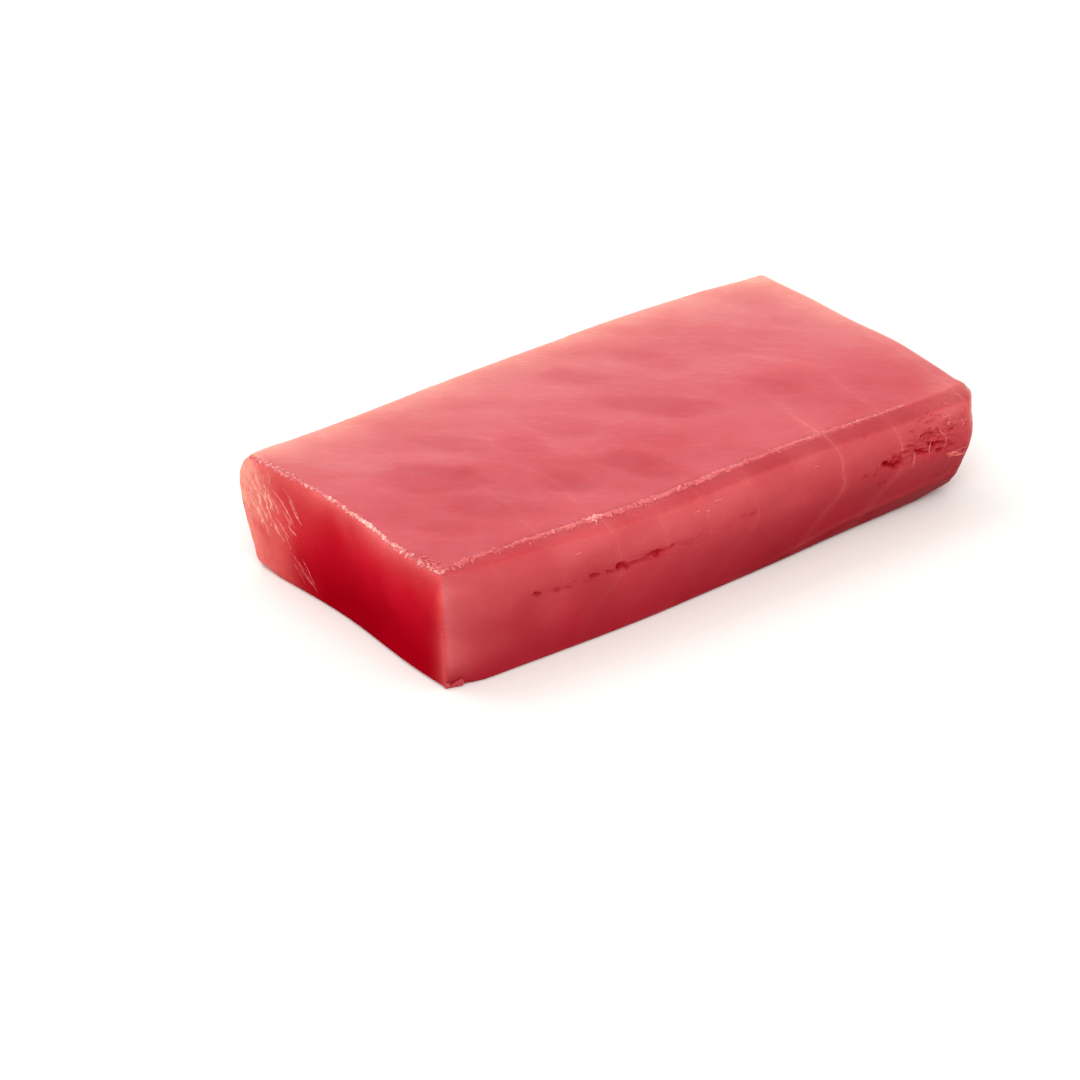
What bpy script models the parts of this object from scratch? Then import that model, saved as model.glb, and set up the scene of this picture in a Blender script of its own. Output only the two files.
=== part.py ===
"""Saku block of raw tuna: one bar of red loin, trimmed square, with a fresh cut across its left end.

X runs along the block, from the cut end to the far end. Y runs across it, and -Y is the near side. Z is up.
The origin is on the surface that the block lies on, under the middle of its box.
"""

import math

import bmesh
import bpy
import numpy as np

MM = 0.001

# The squared bar, before its faces bow
LENGTH = 172.6 * MM
WIDTH = 87.6 * MM
HEIGHT = 31.6 * MM
SETTLED = 0.12 * MM  # the underside is pressed flat up to this height

# Rounding of its edges
SOFT_ROUND = 2.3 * MM  # trimmed edges that have slumped
CORNER_ROUND = 4.2 * MM  # the same, at the far end's near corner, high and low
CHEEK_ROUND = 3.2 * MM  # the same, at the cut face's far corner
FOOT_ROUND = 1.7 * MM  # edges round the underside
CUT_ROUND = 0.9 * MM  # top edge of the fresh cut
BEVEL_NARROW = 2.0 * MM  # bevel along the near top edge, at the cut end
BEVEL_WIDE = 3.2 * MM  # the same bevel, past the middle
BEVEL_FLATNESS = 1.3  # 2 is a round edge, 1 a flat chamfer

# Near side, seen from above: it stands out further past the cut end, and its foot leans in at the far end
NEAR_TAPER = 3.4 * MM
NEAR_TAPER_RUN = 70.0 * MM
NEAR_INSET = 0.8 * MM  # how far it stays inside the bar's plane after that
INSET_END = 35.0 * MM  # where the inset starts to run out
INSET_END_RUN = 35.0 * MM
CREASE_HIGH = 26.0 * MM  # below this line the side face leans, at the cut end
CREASE_LOW = 13.5 * MM  # the same line past the middle
CREASE_RUN = 86.0 * MM
FOOT_FLARE = 3.9 * MM  # how far the foot stands out near the cut end
FOOT_FLARE_RUN = 105.0 * MM
CORNER_FLARE = 0.35  # share of the flare that is left at the cut corner itself
CORNER_RUN = 12.0 * MM
FOOT_TUCK = 5.2 * MM  # how far it tucks in at the far end
FOOT_TUCK_START = -4.0 * MM
FOOT_TUCK_RUN = 100.0 * MM
UNDERCUT = 0.45  # share of the tuck that lies under the low line
UNDERCUT_HEIGHT = 6.0 * MM

# Far side: it swells from the cut end and falls back at the far corner
FAR_START = -1.2 * MM
FAR_SWELL = 4.2 * MM
FAR_SWELL_RUN = 0.55  # shares of the length
FAR_FALL = 2.6 * MM
FAR_FALL_START = 0.84
FAR_FALL_RUN = 0.2
FAR_FOOT_TUCK = 1.6 * MM

# Ends
CUT_WAVE = 1.0 * MM  # the knife's path across the cut face
CUT_WAVE_LENGTH = 76.0 * MM
CUT_WAVE_MIDDLE = 5.0 * MM
CUT_WAVE_FOOT = 0.8  # share of the wave that is left at the foot
CHEEK = 2.2 * MM  # swelling of the far upright edge of the cut face
CHEEK_HEIGHT = 25.0 * MM
CHEEK_RISE = 5.5 * MM
CHEEK_FALL = 16.0 * MM
CHEEK_SPREAD = 8.0 * MM
END_BOW = 0.9 * MM
END_BOW_MIDDLE = -10.0 * MM
END_BOW_SPREAD = 22.0 * MM
END_FOOT_TUCK = 5.5 * MM
END_CREASE_HEIGHT = 17.0 * MM

# Uneven faces: each wave has a size, a length, and a direction in degrees seen from above
FACE_WAVES = ((0.20 * MM, 61 * MM, 28), (0.15 * MM, 38 * MM, 112), (0.10 * MM, 29 * MM, 71))

# Cage lines, measured in from both ends of each side, and how many more lie between them
EDGE_LINES = (1.3 * MM, 3.4 * MM, 7.5 * MM)
LONG_LINES = 13
CROSS_LINES = 6
UPRIGHT_LINES = 1

# Where the muscle's layers part: place along X, height, length, opening, depth and slope in degrees
NEAR_GAPS = (
    (-58.7 * MM, 17.9 * MM, 4.6 * MM, 1.0 * MM, 1.8 * MM, 17),
    (-41.6 * MM, 17.4 * MM, 4.2 * MM, 1.1 * MM, 1.8 * MM, 12),
    (-33.0 * MM, 17.2 * MM, 4.6 * MM, 3.0 * MM, 3.2 * MM, 14),
    (-22.9 * MM, 17.5 * MM, 7.6 * MM, 1.9 * MM, 3.0 * MM, 2),
    (8.4 * MM, 18.3 * MM, 3.4 * MM, 1.0 * MM, 1.8 * MM, 16),
    (55.9 * MM, 18.4 * MM, 7.4 * MM, 2.2 * MM, 3.4 * MM, 8),
    (65.5 * MM, 18.6 * MM, 7.2 * MM, 1.4 * MM, 2.6 * MM, 13),
    (72.4 * MM, 16.9 * MM, 5.6 * MM, 1.2 * MM, 2.2 * MM, 13),
    (66.8 * MM, 23.0 * MM, 7.1 * MM, 1.0 * MM, 1.8 * MM, 10),
)
FAR_GAPS = (
    (-49.0 * MM, 16.5 * MM, 8.0 * MM, 1.4 * MM, 2.4 * MM, 5),
    (-11.0 * MM, 18.0 * MM, 10.0 * MM, 2.0 * MM, 3.0 * MM, 3),
    (37.0 * MM, 15.8 * MM, 7.0 * MM, 1.4 * MM, 2.4 * MM, 7),
)
GAP_SIDES = 10
GAP_RINGS = 6

SLAB_SPREAD = 1.3  # the slab that trims the underside, as a multiple of the bar's length and width
SLAB_DEPTH = 10.0 * MM

FLESH_COLOUR = (0.62, 0.060, 0.080, 1.0)
FLESH_ROUGHNESS = 0.32
DEEP_COLOUR = (0.30, 0.02, 0.03, 1.0)
DEEP_ROUGHNESS = 0.35


def smooth_step(t):
    """0 below 0, 1 above 1, with an easy curve between."""
    t = np.clip(t, 0.0, 1.0)
    return t * t * (3.0 - 2.0 * t)


def hump(distance, spread):
    """1 at no distance, falling to about a third at one spread."""
    return np.exp(-((distance / spread) ** 2))


def clear_scene():
    for obj in list(bpy.data.objects):
        bpy.data.objects.remove(obj, do_unlink=True)


def new_collection(name):
    collection = bpy.data.collections.new(name)
    bpy.context.scene.collection.children.link(collection)
    return collection


def plain_material(name, colour, roughness):
    material = bpy.data.materials.new(name)
    material.use_nodes = True
    shader = material.node_tree.nodes["Principled BSDF"]
    shader.inputs["Base Color"].default_value = colour
    shader.inputs["Roughness"].default_value = roughness
    shader.inputs["Metallic"].default_value = 0.0
    return material


def rounding_at(x, y, z):
    """The radius and the flatness of the rounding near each place of the squared bar."""
    low = 1.0 - smooth_step(z / (0.5 * HEIGHT))
    high = smooth_step((z / HEIGHT - 0.5) / 0.35)
    near = smooth_step(-y / (0.35 * WIDTH))
    cut_end = smooth_step((-x / LENGTH - 0.44) / 0.05)
    far_end = smooth_step((x / LENGTH - 0.42) / 0.06)
    far_corner = far_end * smooth_step((-y / WIDTH - 0.30) / 0.15)
    cheek = cut_end * smooth_step((y / WIDTH - 0.36) / 0.10)
    bevel_growth = smooth_step((x / LENGTH + 0.5) / 0.4)
    bevel = BEVEL_NARROW + (BEVEL_WIDE - BEVEL_NARROW) * bevel_growth
    radius = SOFT_ROUND + (FOOT_ROUND - SOFT_ROUND) * low
    radius = radius + (bevel - radius) * near * high
    radius = radius + (CUT_ROUND - radius) * cut_end * high
    radius = radius + (CORNER_ROUND - radius) * far_corner
    radius = radius + (CHEEK_ROUND - radius) * cheek
    flatness = 2.0 + (BEVEL_FLATNESS - 2.0) * near * high * (1.0 - cut_end)
    return radius[:, None], flatness[:, None]


def rounded_bar(points):
    """Points of the squared bar's surface, moved onto its rounded edges and corners."""
    middle = np.array((0.0, 0.0, 0.5 * HEIGHT))
    half = 0.5 * np.array((LENGTH, WIDTH, HEIGHT))
    radius, flatness = rounding_at(*points.T)
    from_middle = points - middle
    core = np.clip(from_middle, radius - half, half - radius)
    reach = np.abs(from_middle - core)
    size = np.sum(reach**flatness, axis=1, keepdims=True) ** (1.0 / flatness)
    return middle + core + radius * (from_middle - core) / size


def near_shift(x, z):
    """How far the near side lies inside (+) or outside (-) the bar's plane."""
    from_cut = x + 0.5 * LENGTH
    inset = NEAR_INSET * (1.0 - smooth_step((x - INSET_END) / INSET_END_RUN))
    taper = NEAR_TAPER * (1.0 - smooth_step(from_cut / NEAR_TAPER_RUN))
    crease = CREASE_HIGH + (CREASE_LOW - CREASE_HIGH) * smooth_step(from_cut / CREASE_RUN)
    under_crease = np.clip(1.0 - z / crease, 0.0, 1.0)
    under_low_line = np.clip(1.0 - z / UNDERCUT_HEIGHT, 0.0, 1.0)
    corner_share = CORNER_FLARE + (1.0 - CORNER_FLARE) * smooth_step(from_cut / CORNER_RUN)
    flare = FOOT_FLARE * (1.0 - smooth_step(from_cut / FOOT_FLARE_RUN)) * corner_share
    tuck = FOOT_TUCK * smooth_step((x - FOOT_TUCK_START) / FOOT_TUCK_RUN)
    tuck = tuck * ((1.0 - UNDERCUT) * under_crease + UNDERCUT * under_low_line)
    return inset + taper + tuck - flare * under_crease


def far_shift(x, z):
    """How far the far side lies outside (+) or inside (-) the bar's plane."""
    along = x / LENGTH + 0.5
    swell = FAR_SWELL * smooth_step(along / FAR_SWELL_RUN)
    fall = FAR_FALL * smooth_step((along - FAR_FALL_START) / FAR_FALL_RUN)
    return FAR_START + swell - fall - FAR_FOOT_TUCK * (1.0 - smooth_step(z / CREASE_LOW))


def cut_shift(y, z):
    """How far the cut face lies inside (+) or outside (-) the bar's end plane, less at its foot."""
    wave = np.cos(2.0 * math.pi * (y - CUT_WAVE_MIDDLE) / CUT_WAVE_LENGTH) - 1.0
    return CUT_WAVE * wave * (CUT_WAVE_FOOT + (1.0 - CUT_WAVE_FOOT) * z / HEIGHT)


def end_shift(y, z):
    """How far the far end lies outside (+) or inside (-) the bar's end plane."""
    bow = END_BOW * hump(y - END_BOW_MIDDLE, END_BOW_SPREAD)
    return bow - END_FOOT_TUCK * np.clip(1.0 - z / END_CREASE_HEIGHT, 0.0, 1.0)


def uneven(x, y, z):
    """Low waves that run over the faces."""
    height = np.zeros_like(x)
    for size, length, degrees in FACE_WAVES:
        turn = math.radians(degrees)
        across = x * math.cos(turn) + y * math.sin(turn) + 0.6 * z
        height += size * np.sin(2.0 * math.pi * across / length)
    return height


def block_surface(points):
    """The bar's surface points, rounded and bowed into the trimmed block of fish."""
    points = rounded_bar(points)
    x, y, z = points.T
    near = smooth_step(0.5 - y / WIDTH)
    left = smooth_step(0.5 - x / LENGTH)
    cheek = CHEEK * hump(z - CHEEK_HEIGHT, np.where(z > CHEEK_HEIGHT, CHEEK_RISE, CHEEK_FALL))
    cheek = cheek * hump(x + 0.5 * LENGTH, CHEEK_SPREAD) * hump(y - 0.5 * WIDTH, CHEEK_SPREAD)
    new_x = x + left**4 * cut_shift(y, z) + (1.0 - left) ** 4 * end_shift(y, z) - cheek
    new_y = y + near**2 * near_shift(x, z) + (1.0 - near) ** 2 * far_shift(x, z) + cheek
    off_floor = smooth_step(z / (0.5 * HEIGHT))
    new_z = z + uneven(x, y, z) * off_floor
    return np.column_stack((new_x, new_y, new_z))


def lines_between(low, high, count):
    """Cage lines across one side: close together near both ends, evenly spread between."""
    inner = np.linspace(low + EDGE_LINES[-1], high - EDGE_LINES[-1], count + 2)[1:-1]
    return [low + step for step in EDGE_LINES] + list(inner) + [high - step for step in EDGE_LINES]


def cut_cage(mesh, axis, lines):
    """Cuts the cage across one axis at each line."""
    normal = [0.0, 0.0, 0.0]
    normal[axis] = 1.0
    for line in lines:
        place = [0.0, 0.0, 0.0]
        place[axis] = line
        geometry = mesh.verts[:] + mesh.edges[:] + mesh.faces[:]
        bmesh.ops.bisect_plane(mesh, geom=geometry, plane_co=place, plane_no=normal)


def make_block(collection, material):
    """A box cut into a cage, shaped as a whole and smoothed by subdivision."""
    cage = bmesh.new()
    bmesh.ops.create_cube(cage, size=1.0)
    bmesh.ops.scale(cage, vec=(LENGTH, WIDTH, HEIGHT), verts=cage.verts)
    bmesh.ops.translate(cage, vec=(0.0, 0.0, 0.5 * HEIGHT), verts=cage.verts)
    cut_cage(cage, 0, lines_between(-0.5 * LENGTH, 0.5 * LENGTH, LONG_LINES))
    cut_cage(cage, 1, lines_between(-0.5 * WIDTH, 0.5 * WIDTH, CROSS_LINES))
    cut_cage(cage, 2, lines_between(0.0, HEIGHT, UPRIGHT_LINES))
    shaped = block_surface(np.array([vertex.co[:] for vertex in cage.verts]))
    for vertex, place in zip(cage.verts, shaped):
        vertex.co = place
    mesh = bpy.data.meshes.new("tuna_block")
    cage.to_mesh(mesh)
    cage.free()
    block = bpy.data.objects.new("tuna_block", mesh)
    collection.objects.link(block)
    mesh.materials.append(material)
    mesh.shade_smooth()
    smoothing = block.modifiers.new("soft flesh", "SUBSURF")
    smoothing.levels = 1
    smoothing.render_levels = 1
    return block


def make_gap(name, collection, material, place, size, slope):
    """A flattened ball that opens one gap between layers of muscle."""
    ball = bmesh.new()
    bmesh.ops.create_uvsphere(ball, u_segments=GAP_SIDES, v_segments=GAP_RINGS, radius=0.5)
    bmesh.ops.scale(ball, vec=size, verts=ball.verts)
    mesh = bpy.data.meshes.new(name)
    ball.to_mesh(mesh)
    ball.free()
    cutter = bpy.data.objects.new(name, mesh)
    cutter.location = place
    cutter.rotation_euler = (0.0, math.radians(slope), 0.0)
    cutter.hide_render = True
    cutter.display_type = "WIRE"
    mesh.materials.append(material)
    collection.objects.link(cutter)


def make_gaps(collection, material):
    """The gaps lie on the side faces, each centred on the face so that half of its ball cuts in."""
    for side, gaps in (("near", NEAR_GAPS), ("far", FAR_GAPS)):
        sign = -1.0 if side == "near" else 1.0
        for number, (x, z, length, opening, depth, slope) in enumerate(gaps):
            on_bar = np.array(((x, sign * 0.5 * WIDTH, z),))
            place = block_surface(on_bar)[0]
            make_gap(f"gap_{side}_{number}", collection, material, place, (length, 2.0 * depth, opening), slope)


def make_underside_slab(collection, material):
    """A slab whose top trims the underside to one flat face."""
    slab = bmesh.new()
    bmesh.ops.create_cube(slab, size=1.0)
    bmesh.ops.scale(slab, vec=(SLAB_SPREAD * LENGTH, SLAB_SPREAD * WIDTH, SLAB_DEPTH), verts=slab.verts)
    mesh = bpy.data.meshes.new("underside_slab")
    slab.to_mesh(mesh)
    slab.free()
    mesh.materials.append(material)
    cutter = bpy.data.objects.new("underside_slab", mesh)
    cutter.location = (0.0, 0.0, SETTLED - 0.5 * SLAB_DEPTH)
    cutter.hide_render = True
    cutter.display_type = "WIRE"
    collection.objects.link(cutter)


def way_to_origin(block):
    """The move that stands the trimmed block's box on the origin, with the middle of the box over it."""
    bpy.context.view_layer.update()
    smoothed = block.evaluated_get(bpy.context.evaluated_depsgraph_get()).to_mesh()
    places = np.array([vertex.co[:] for vertex in smoothed.vertices])
    low, high = places.min(axis=0), places.max(axis=0)
    return -0.5 * (low[0] + high[0]), -0.5 * (low[1] + high[1]), -low[2] - SETTLED


def build():
    clear_scene()
    parts = new_collection("tuna_saku_block")
    cutters = new_collection("cutters")
    flesh = plain_material("raw_tuna_flesh", FLESH_COLOUR, FLESH_ROUGHNESS)
    deep_flesh = plain_material("deep_flesh_in_the_gaps", DEEP_COLOUR, DEEP_ROUGHNESS)
    block = make_block(parts, flesh)
    make_gaps(cutters, deep_flesh)
    make_underside_slab(cutters, flesh)
    way = way_to_origin(block)
    for obj in (block, *cutters.objects):
        obj.location = [place + step for place, step in zip(obj.location, way)]
    cut = block.modifiers.new("gaps and underside", "BOOLEAN")
    cut.operation = "DIFFERENCE"
    cut.operand_type = "COLLECTION"
    cut.collection = cutters
    cut.solver = "EXACT"


build()
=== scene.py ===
import itertools
import math

import bpy
import numpy as np
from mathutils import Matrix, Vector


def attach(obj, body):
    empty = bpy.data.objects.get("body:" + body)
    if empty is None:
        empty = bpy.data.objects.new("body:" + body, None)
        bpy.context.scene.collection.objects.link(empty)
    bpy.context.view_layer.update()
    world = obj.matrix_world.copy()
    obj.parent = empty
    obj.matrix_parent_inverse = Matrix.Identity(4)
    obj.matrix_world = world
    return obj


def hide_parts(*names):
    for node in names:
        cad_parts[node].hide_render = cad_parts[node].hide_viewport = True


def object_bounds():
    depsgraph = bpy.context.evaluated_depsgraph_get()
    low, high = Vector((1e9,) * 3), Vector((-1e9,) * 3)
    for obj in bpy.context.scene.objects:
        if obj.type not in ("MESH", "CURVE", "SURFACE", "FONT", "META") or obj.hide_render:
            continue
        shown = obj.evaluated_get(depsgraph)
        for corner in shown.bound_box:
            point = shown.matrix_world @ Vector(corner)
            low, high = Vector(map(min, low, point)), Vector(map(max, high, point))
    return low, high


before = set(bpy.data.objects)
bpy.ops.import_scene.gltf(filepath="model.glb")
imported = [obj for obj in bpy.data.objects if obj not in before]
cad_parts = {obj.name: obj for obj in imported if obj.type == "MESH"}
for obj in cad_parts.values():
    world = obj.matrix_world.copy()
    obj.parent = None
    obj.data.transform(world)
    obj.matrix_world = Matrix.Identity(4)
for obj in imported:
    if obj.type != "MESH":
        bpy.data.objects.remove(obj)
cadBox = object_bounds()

# A saku block of raw tuna: one trimmed bar of red loin with a fresh cut across its left end. Sizes in the
# dictionaries are in millimetres. X runs along the block from the cut end, -Y is the near side, Z is up.
mm = 0.001
grainTurn = -37.9  # the muscle's grain runs this way, in degrees seen from above

# The squared bar and how it is rounded and bowed into the block
bar = {
    "length": 172.6, "width": 87.6, "height": 31.6,
    "settled": 0.12,  # the underside is pressed flat up to this height
    "softRound": 2.3, "cornerRound": 4.2, "cheekRound": 3.2, "footRound": 1.7, "cutRound": 0.9,
    "bevelNarrow": 2.0, "bevelWide": 3.2, "bevelFlatness": 1.3,  # 2 is a round edge, 1 a flat chamfer
    "nearTaper": 3.4, "nearTaperRun": 70.0, "nearInset": 0.8, "insetEnd": 35.0, "insetEndRun": 35.0,
    "creaseHigh": 26.0, "creaseLow": 13.5, "creaseRun": 86.0,  # below this height the near side leans
    "footFlare": 3.9, "footFlareRun": 105.0, "cornerFlare": 0.35, "cornerRun": 12.0,
    "footTuck": 5.2, "footTuckStart": -4.0, "footTuckRun": 100.0, "undercut": 0.45, "undercutHeight": 6.0,
    "farStart": -1.2, "farSwell": 4.2, "farSwellRun": 0.55,  # runs and starts here are shares of the length
    "farFall": 2.6, "farFallStart": 0.84, "farFallRun": 0.2, "farFootTuck": 1.6,
    "cutWave": 1.0, "cutWaveLength": 76.0, "cutWaveMiddle": 5.0, "cutWaveFoot": 0.8,
    "cheek": 2.2, "cheekHeight": 25.0, "cheekRise": 5.5, "cheekFall": 16.0, "cheekSpread": 8.0,
    "endBow": 0.9, "endBowMiddle": -10.0, "endBowSpread": 22.0, "endFootTuck": 5.5, "endCrease": 17.0,
    "faceWaves": ((0.20, 61, 28), (0.15, 38, 112), (0.10, 29, 71)),  # size, length, degrees seen from above
    "waveLean": 0.6,  # how far the waves move along with height
    # where the rounding changes, in shares of the bar: a run, or a start and a run
    "lowRun": 0.5, "highRun": 0.35, "nearRun": 0.35, "bevelRun": 0.4,
    "cutEnd": (0.44, 0.05), "farEnd": (0.42, 0.06), "nearCorner": (0.30, 0.15), "farCheek": (0.36, 0.10),
}
halfLength = 0.5 * bar["length"]
halfWidth = 0.5 * bar["width"]


# An easy curve from 0 to 1: 3t^2 - 2t^3 between them.
def smoothStep(t):
    t = np.clip(t, 0.0, 1.0)
    return t * t * (3.0 - 2.0 * t)


# An easy climb of a value, from 0 at the start to 1 one run further on.
def rise(value, start, run):
    return smoothStep((value - start) / run)


# A bell curve: 1 at no distance, about a third at one spread.
def hump(distance, spread):
    return np.exp(-((distance / spread) ** 2))


# A fade from 1 at the start to 0 far off: e to the power of minus (distance past the start / reach) ^ power.
def fade(distance, reach, start=0.0, power=1.0):
    return np.exp(-((np.maximum(distance - start, 0.0) / reach) ** power))


# A place counted along and across a line turned by so many degrees: x cos + y sin, and y cos - x sin.
def turned(x, y, degrees):
    turn = math.radians(degrees)
    return x * math.cos(turn) + y * math.sin(turn), y * math.cos(turn) - x * math.sin(turn)


# Points on a level plane, for noise that needs no height
def levelPoints(x, y):
    return np.column_stack((x, y, np.zeros_like(x)))


def mixed(low, high, share):
    return low + (high - low) * share


latticeHeights = 8192
latticePrimes = (73856093, 19349663, 83492791)  # they mix a corner's three numbers into one


# Cloud noise from -1 to 1: every corner of a lattice has a random height, and a point takes the smooth mean
# of the eight corners around it.
def cloudNoise(points, size, seed):
    heights = np.random.default_rng(seed).uniform(-1.0, 1.0, latticeHeights)
    scaled = np.asarray(points) / size
    cell = np.floor(scaled).astype(np.int64)
    part = smoothStep(scaled - cell)
    total = np.zeros(len(scaled))
    for corner in itertools.product((0, 1), repeat=3):
        index = np.bitwise_xor.reduce((cell + corner) * latticePrimes, axis=1) % latticeHeights
        total += np.prod(np.where(np.array(corner) == 1, part, 1.0 - part), axis=1) * heights[index]
    return total


# Cloud noise in several sizes, each half as large and half as strong as the one before.
def roughNoise(points, size, seed, layers):
    total = sum(cloudNoise(points, size / 2**layer, seed + layer) / 2**layer for layer in range(layers))
    return total / (2.0 - 2.0 ** (1 - layers))


# The width of the bevel, which grows along the block from the cut end on.
def bevelAt(x):
    return mixed(bar["bevelNarrow"], bar["bevelWide"], rise(x / bar["length"], -0.5, bar["bevelRun"]))


# The radius and flatness of the rounding near each place of the squared bar.
def roundingAt(x, y, z):
    b = bar
    low = 1.0 - smoothStep(z / (b["lowRun"] * b["height"]))
    high = rise(z / b["height"], 0.5, b["highRun"])
    near = smoothStep(-y / (b["nearRun"] * b["width"]))
    cutEnd = rise(-x / b["length"], *b["cutEnd"])
    farCorner = rise(x / b["length"], *b["farEnd"]) * rise(-y / b["width"], *b["nearCorner"])
    cheek = cutEnd * rise(y / b["width"], *b["farCheek"])
    radius = mixed(b["softRound"], b["footRound"], low)
    radius = mixed(radius, bevelAt(x), near * high)
    radius = mixed(radius, b["cutRound"], cutEnd * high)
    radius = mixed(radius, b["cornerRound"], farCorner)
    radius = mixed(radius, b["cheekRound"], cheek)
    flatness = mixed(2.0, b["bevelFlatness"], near * high * (1.0 - cutEnd))
    return radius[:, None], flatness[:, None]


# A point of the squared bar goes to the nearest place of a smaller core, and then out again by the radius.
def roundedBar(points):
    middle = np.array((0.0, 0.0, 0.5 * bar["height"]))
    half = 0.5 * np.array((bar["length"], bar["width"], bar["height"]))
    radius, flatness = roundingAt(*points.T)
    fromMiddle = points - middle
    core = np.clip(fromMiddle, radius - half, half - radius)
    reach = np.abs(fromMiddle - core)
    size = np.sum(reach**flatness, axis=1, keepdims=True) ** (1.0 / flatness)
    return middle + core + radius * (fromMiddle - core) / size


# How far the near side lies inside the bar's plane: a taper at the cut end, and a foot that flares or tucks
# in.
def nearShift(x, z):
    b = bar
    fromCut = x + halfLength
    inset = b["nearInset"] * (1.0 - rise(x, b["insetEnd"], b["insetEndRun"]))
    taper = b["nearTaper"] * (1.0 - smoothStep(fromCut / b["nearTaperRun"]))
    crease = mixed(b["creaseHigh"], b["creaseLow"], smoothStep(fromCut / b["creaseRun"]))
    underCrease = np.clip(1.0 - z / crease, 0.0, 1.0)
    underLowLine = np.clip(1.0 - z / b["undercutHeight"], 0.0, 1.0)
    flare = b["footFlare"] * (1.0 - smoothStep(fromCut / b["footFlareRun"]))
    flare = flare * mixed(b["cornerFlare"], 1.0, smoothStep(fromCut / b["cornerRun"]))
    tuck = b["footTuck"] * rise(x, b["footTuckStart"], b["footTuckRun"])
    return inset + taper + tuck * mixed(underCrease, underLowLine, b["undercut"]) - flare * underCrease


# How far the far side lies outside the bar's plane: a swell, a fall at the far corner, and a foot that
# tucks in.
def farShift(x, z):
    b = bar
    along = x / b["length"] + 0.5
    swell = b["farSwell"] * smoothStep(along / b["farSwellRun"])
    fall = b["farFall"] * rise(along, b["farFallStart"], b["farFallRun"])
    return b["farStart"] + swell - fall - b["farFootTuck"] * (1.0 - smoothStep(z / b["creaseLow"]))


# The bar's surface points, rounded and bowed into the block.
def blockSurface(points):
    b = bar
    x, y, z = roundedBar(points).T
    near = smoothStep(0.5 - y / b["width"])
    left = smoothStep(0.5 - x / b["length"])
    cutWave = np.cos(2.0 * math.pi * (y - b["cutWaveMiddle"]) / b["cutWaveLength"]) - 1.0
    cutShift = b["cutWave"] * cutWave * mixed(b["cutWaveFoot"], 1.0, z / b["height"])
    endShift = b["endBow"] * hump(y - b["endBowMiddle"], b["endBowSpread"])
    endShift = endShift - b["endFootTuck"] * np.clip(1.0 - z / b["endCrease"], 0.0, 1.0)
    cheekReach = np.where(z > b["cheekHeight"], b["cheekRise"], b["cheekFall"])
    cheek = b["cheek"] * hump(z - b["cheekHeight"], cheekReach)
    cheek = cheek * hump(x + halfLength, b["cheekSpread"]) * hump(y - halfWidth, b["cheekSpread"])
    newX = x + left**4 * cutShift + (1.0 - left) ** 4 * endShift - cheek
    newY = y + near**2 * nearShift(x, z) + (1.0 - near) ** 2 * farShift(x, z) + cheek
    waves = np.zeros_like(x)
    for size, length, degrees in b["faceWaves"]:
        along = turned(x, y, degrees)[0] + b["waveLean"] * z
        waves += size * np.sin(2.0 * math.pi * along / length)
    newZ = z + waves * smoothStep(z / (0.5 * b["height"]))
    return np.column_stack((newX, newY, newZ))


# Sheets of connective tissue that part the muscle. Each sheet is where x - sway(y) - lean(z) equals its own
# place.
septa = {
    "places": (-89, -73, -56, -38.7, -24, -10, 5, 21, 34.5, 54.8, 79, 98),
    "sway": ((-48, 1), (-40, 0), (-30, 0.5), (-16, 3), (-7, 3), (5, -6), (20, -20), (30, -26), (48, -36)),
    "lean": ((0, -13), (8, -4.5), (14, 3.5), (17, 5), (24, 3.4), (31, 0), (34, -1)),
    "softening": (2.2, 1.0),  # how far the corners of sway and of lean are rounded
    "wander": ((0.8, 11.0, 31), (0.35, 4.0, 32)),  # strength, size and seed of the noise that bends them
    "spacing": 16.0,  # about how far apart they lie
    "gains": (0.15, 0.2, 0.3, 0.5, 0.25, 0.3, 0.3, 0.15, 1.0, 1.0, 0.6, 0.3),  # how plainly each sheet shows
}


# A table of (place, value) pairs read as a line whose corners are rounded by a running mean.
def softTable(table, at, softening, samples=400):
    places, values = np.array(table, float).T
    fine = np.linspace(places[0], places[-1], samples)
    reach = max(1, int(softening / (fine[1] - fine[0])))
    padded = np.pad(np.interp(fine, places, values), reach, mode="edge")
    mean = np.convolve(padded, np.ones(2 * reach + 1) / (2 * reach + 1), mode="valid")
    return np.interp(at, fine, mean)


# The number of the sheet at each place, counted from the cut end, with parts between the sheets.
def septumPhase(points):
    x, y, z = points.T
    swaySoftening, leanSoftening = septa["softening"]
    field = x - softTable(septa["sway"], y, swaySoftening) - softTable(septa["lean"], z, leanSoftening)
    field = field + sum(gain * cloudNoise(points, size, seed) for gain, size, seed in septa["wander"])
    places = np.array(septa["places"], float)
    return np.interp(field, places, np.arange(len(places)))


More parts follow.
